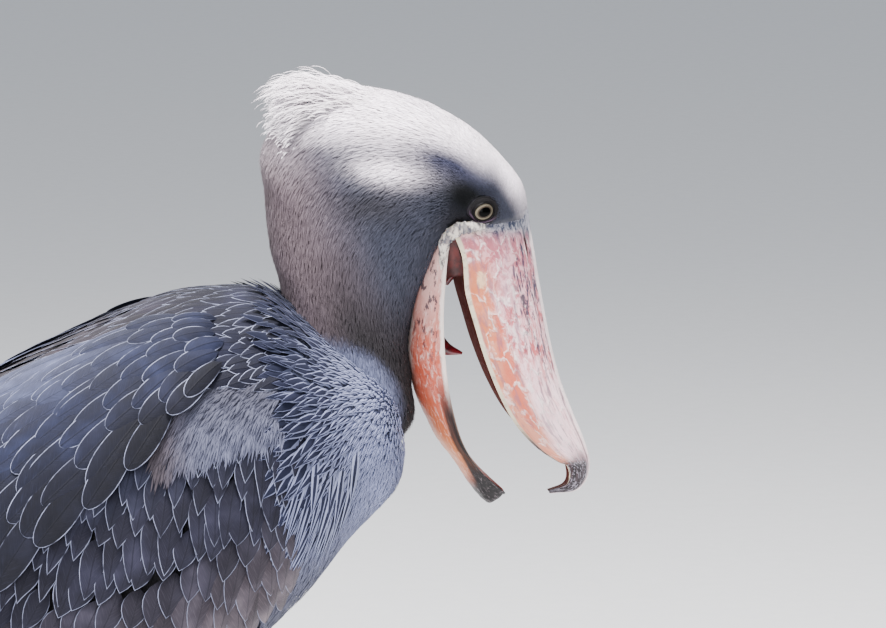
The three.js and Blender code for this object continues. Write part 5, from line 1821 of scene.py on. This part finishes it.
class ShoebillSizes(bpy.types.PropertyGroup):
    """Sizes of the coat."""

    coat_depth: length_setting("Coat depth", "How far the skin lies under the body's outline", 0.009)
    face_down: length_setting("Face down", "Length of the feathers on the face", 0.0045)
    crown_down: length_setting("Crown down", "Length of the feathers on the crown", 0.009)
    neck_down: length_setting("Neck down", "Length of the feathers on the neck", 0.011)
    crest: length_setting("Crest", "Length of the crest's longest wisps", 0.031)
    breast_feather: length_setting("Breast feathers", "Length of the finest breast feathers", 0.011)
    mantle_feather: length_setting("Mantle feathers", "Length of the hindmost mantle feathers", 0.056)
    scapular_feather: length_setting("Scapulars", "Length of the largest scapulars", 0.084)
    covert_feather: length_setting("Coverts", "Length of the lowest coverts", 0.063)
    shoulder_down: length_setting("Shoulder down", "Length of the down at the shoulder", 0.016)
    plume: length_setting("Plumes", "Length of the shortest breast plumes", 0.062)
    thigh_feather: length_setting("Thigh feathers", "Length of the feathers on the thighs", 0.015)


def palette(colours):
    """The colours picked, as arrays under their names."""
    names = ShoebillColours.__annotations__
    return SimpleNamespace(**{name: np.array(getattr(colours, name)) for name in names})


PIECES = (
    ("stage", "Stage", make_stage),
    ("skin", "Skin", make_skin),
    ("eyes", "Eyes", make_eyes),
    ("lids", "Eyelids", make_lids),
    ("bill", "Bill", make_bill),
    ("gape", "Corners of the mouth", make_gape),
    ("mouth", "Mouth", make_mouth),
    ("head_down", "Head and neck down", make_head_down),
    ("crest", "Crest", make_crest),
    ("breast", "Breast and flanks", make_breast),
    ("mantle", "Mantle", make_mantle),
    ("shoulder_down", "Shoulder down", make_shoulder_down),
    ("plumes", "Breast plumes", make_plumes),
    ("thighs", "Thigh feathers", make_thighs),
    ("scapulars", "Scapulars", make_scapulars),
    ("coverts", "Wing coverts", make_coverts),
    ("flight", "Flight feathers", make_flight),
    ("tail", "Tail", make_tail),
    ("legs", "Legs and feet", make_legs),
)


def operator_for(key, label, make):
    """An operator that makes one piece or one group of like pieces."""

    def execute(self, context):
        make(context.scene.shoebill_sizes, palette(context.scene.shoebill_colours))
        return {"FINISHED"}

    return type(
        f"SHOEBILL_OT_{key}",
        (bpy.types.Operator,),
        {
            "bl_idname": f"shoebill.{key}",
            "bl_label": label,
            "__doc__": make.__doc__,
            "execute": execute,
        },
    )


OPERATORS = tuple(operator_for(*row) for row in PIECES)


class SHOEBILL_PT_panel(bpy.types.Panel):
    """Lists the operators and the settings in the sidebar."""

    bl_label = "Shoebill"
    bl_idname = "SHOEBILL_PT_panel"
    bl_space_type = "VIEW_3D"
    bl_region_type = "UI"
    bl_category = "Shoebill"

    def draw(self, context):
        for key, _, _ in PIECES:
            self.layout.operator(f"shoebill.{key}")
        for group in (context.scene.shoebill_sizes, context.scene.shoebill_colours):
            for name in type(group).__annotations__:
                self.layout.prop(group, name)


CLASSES = (ShoebillColours, ShoebillSizes, *OPERATORS, SHOEBILL_PT_panel)


def register():
    for cls in CLASSES:
        bpy.utils.register_class(cls)
    bpy.types.Scene.shoebill_colours = bpy.props.PointerProperty(type=ShoebillColours)
    bpy.types.Scene.shoebill_sizes = bpy.props.PointerProperty(type=ShoebillSizes)


def unregister():
    del bpy.types.Scene.shoebill_colours
    del bpy.types.Scene.shoebill_sizes
    for cls in reversed(CLASSES):
        bpy.utils.unregister_class(cls)


def main():
    register()
    for key, _, _ in PIECES:
        getattr(bpy.ops.shoebill, key)()


if __name__ == "__main__":
    main()
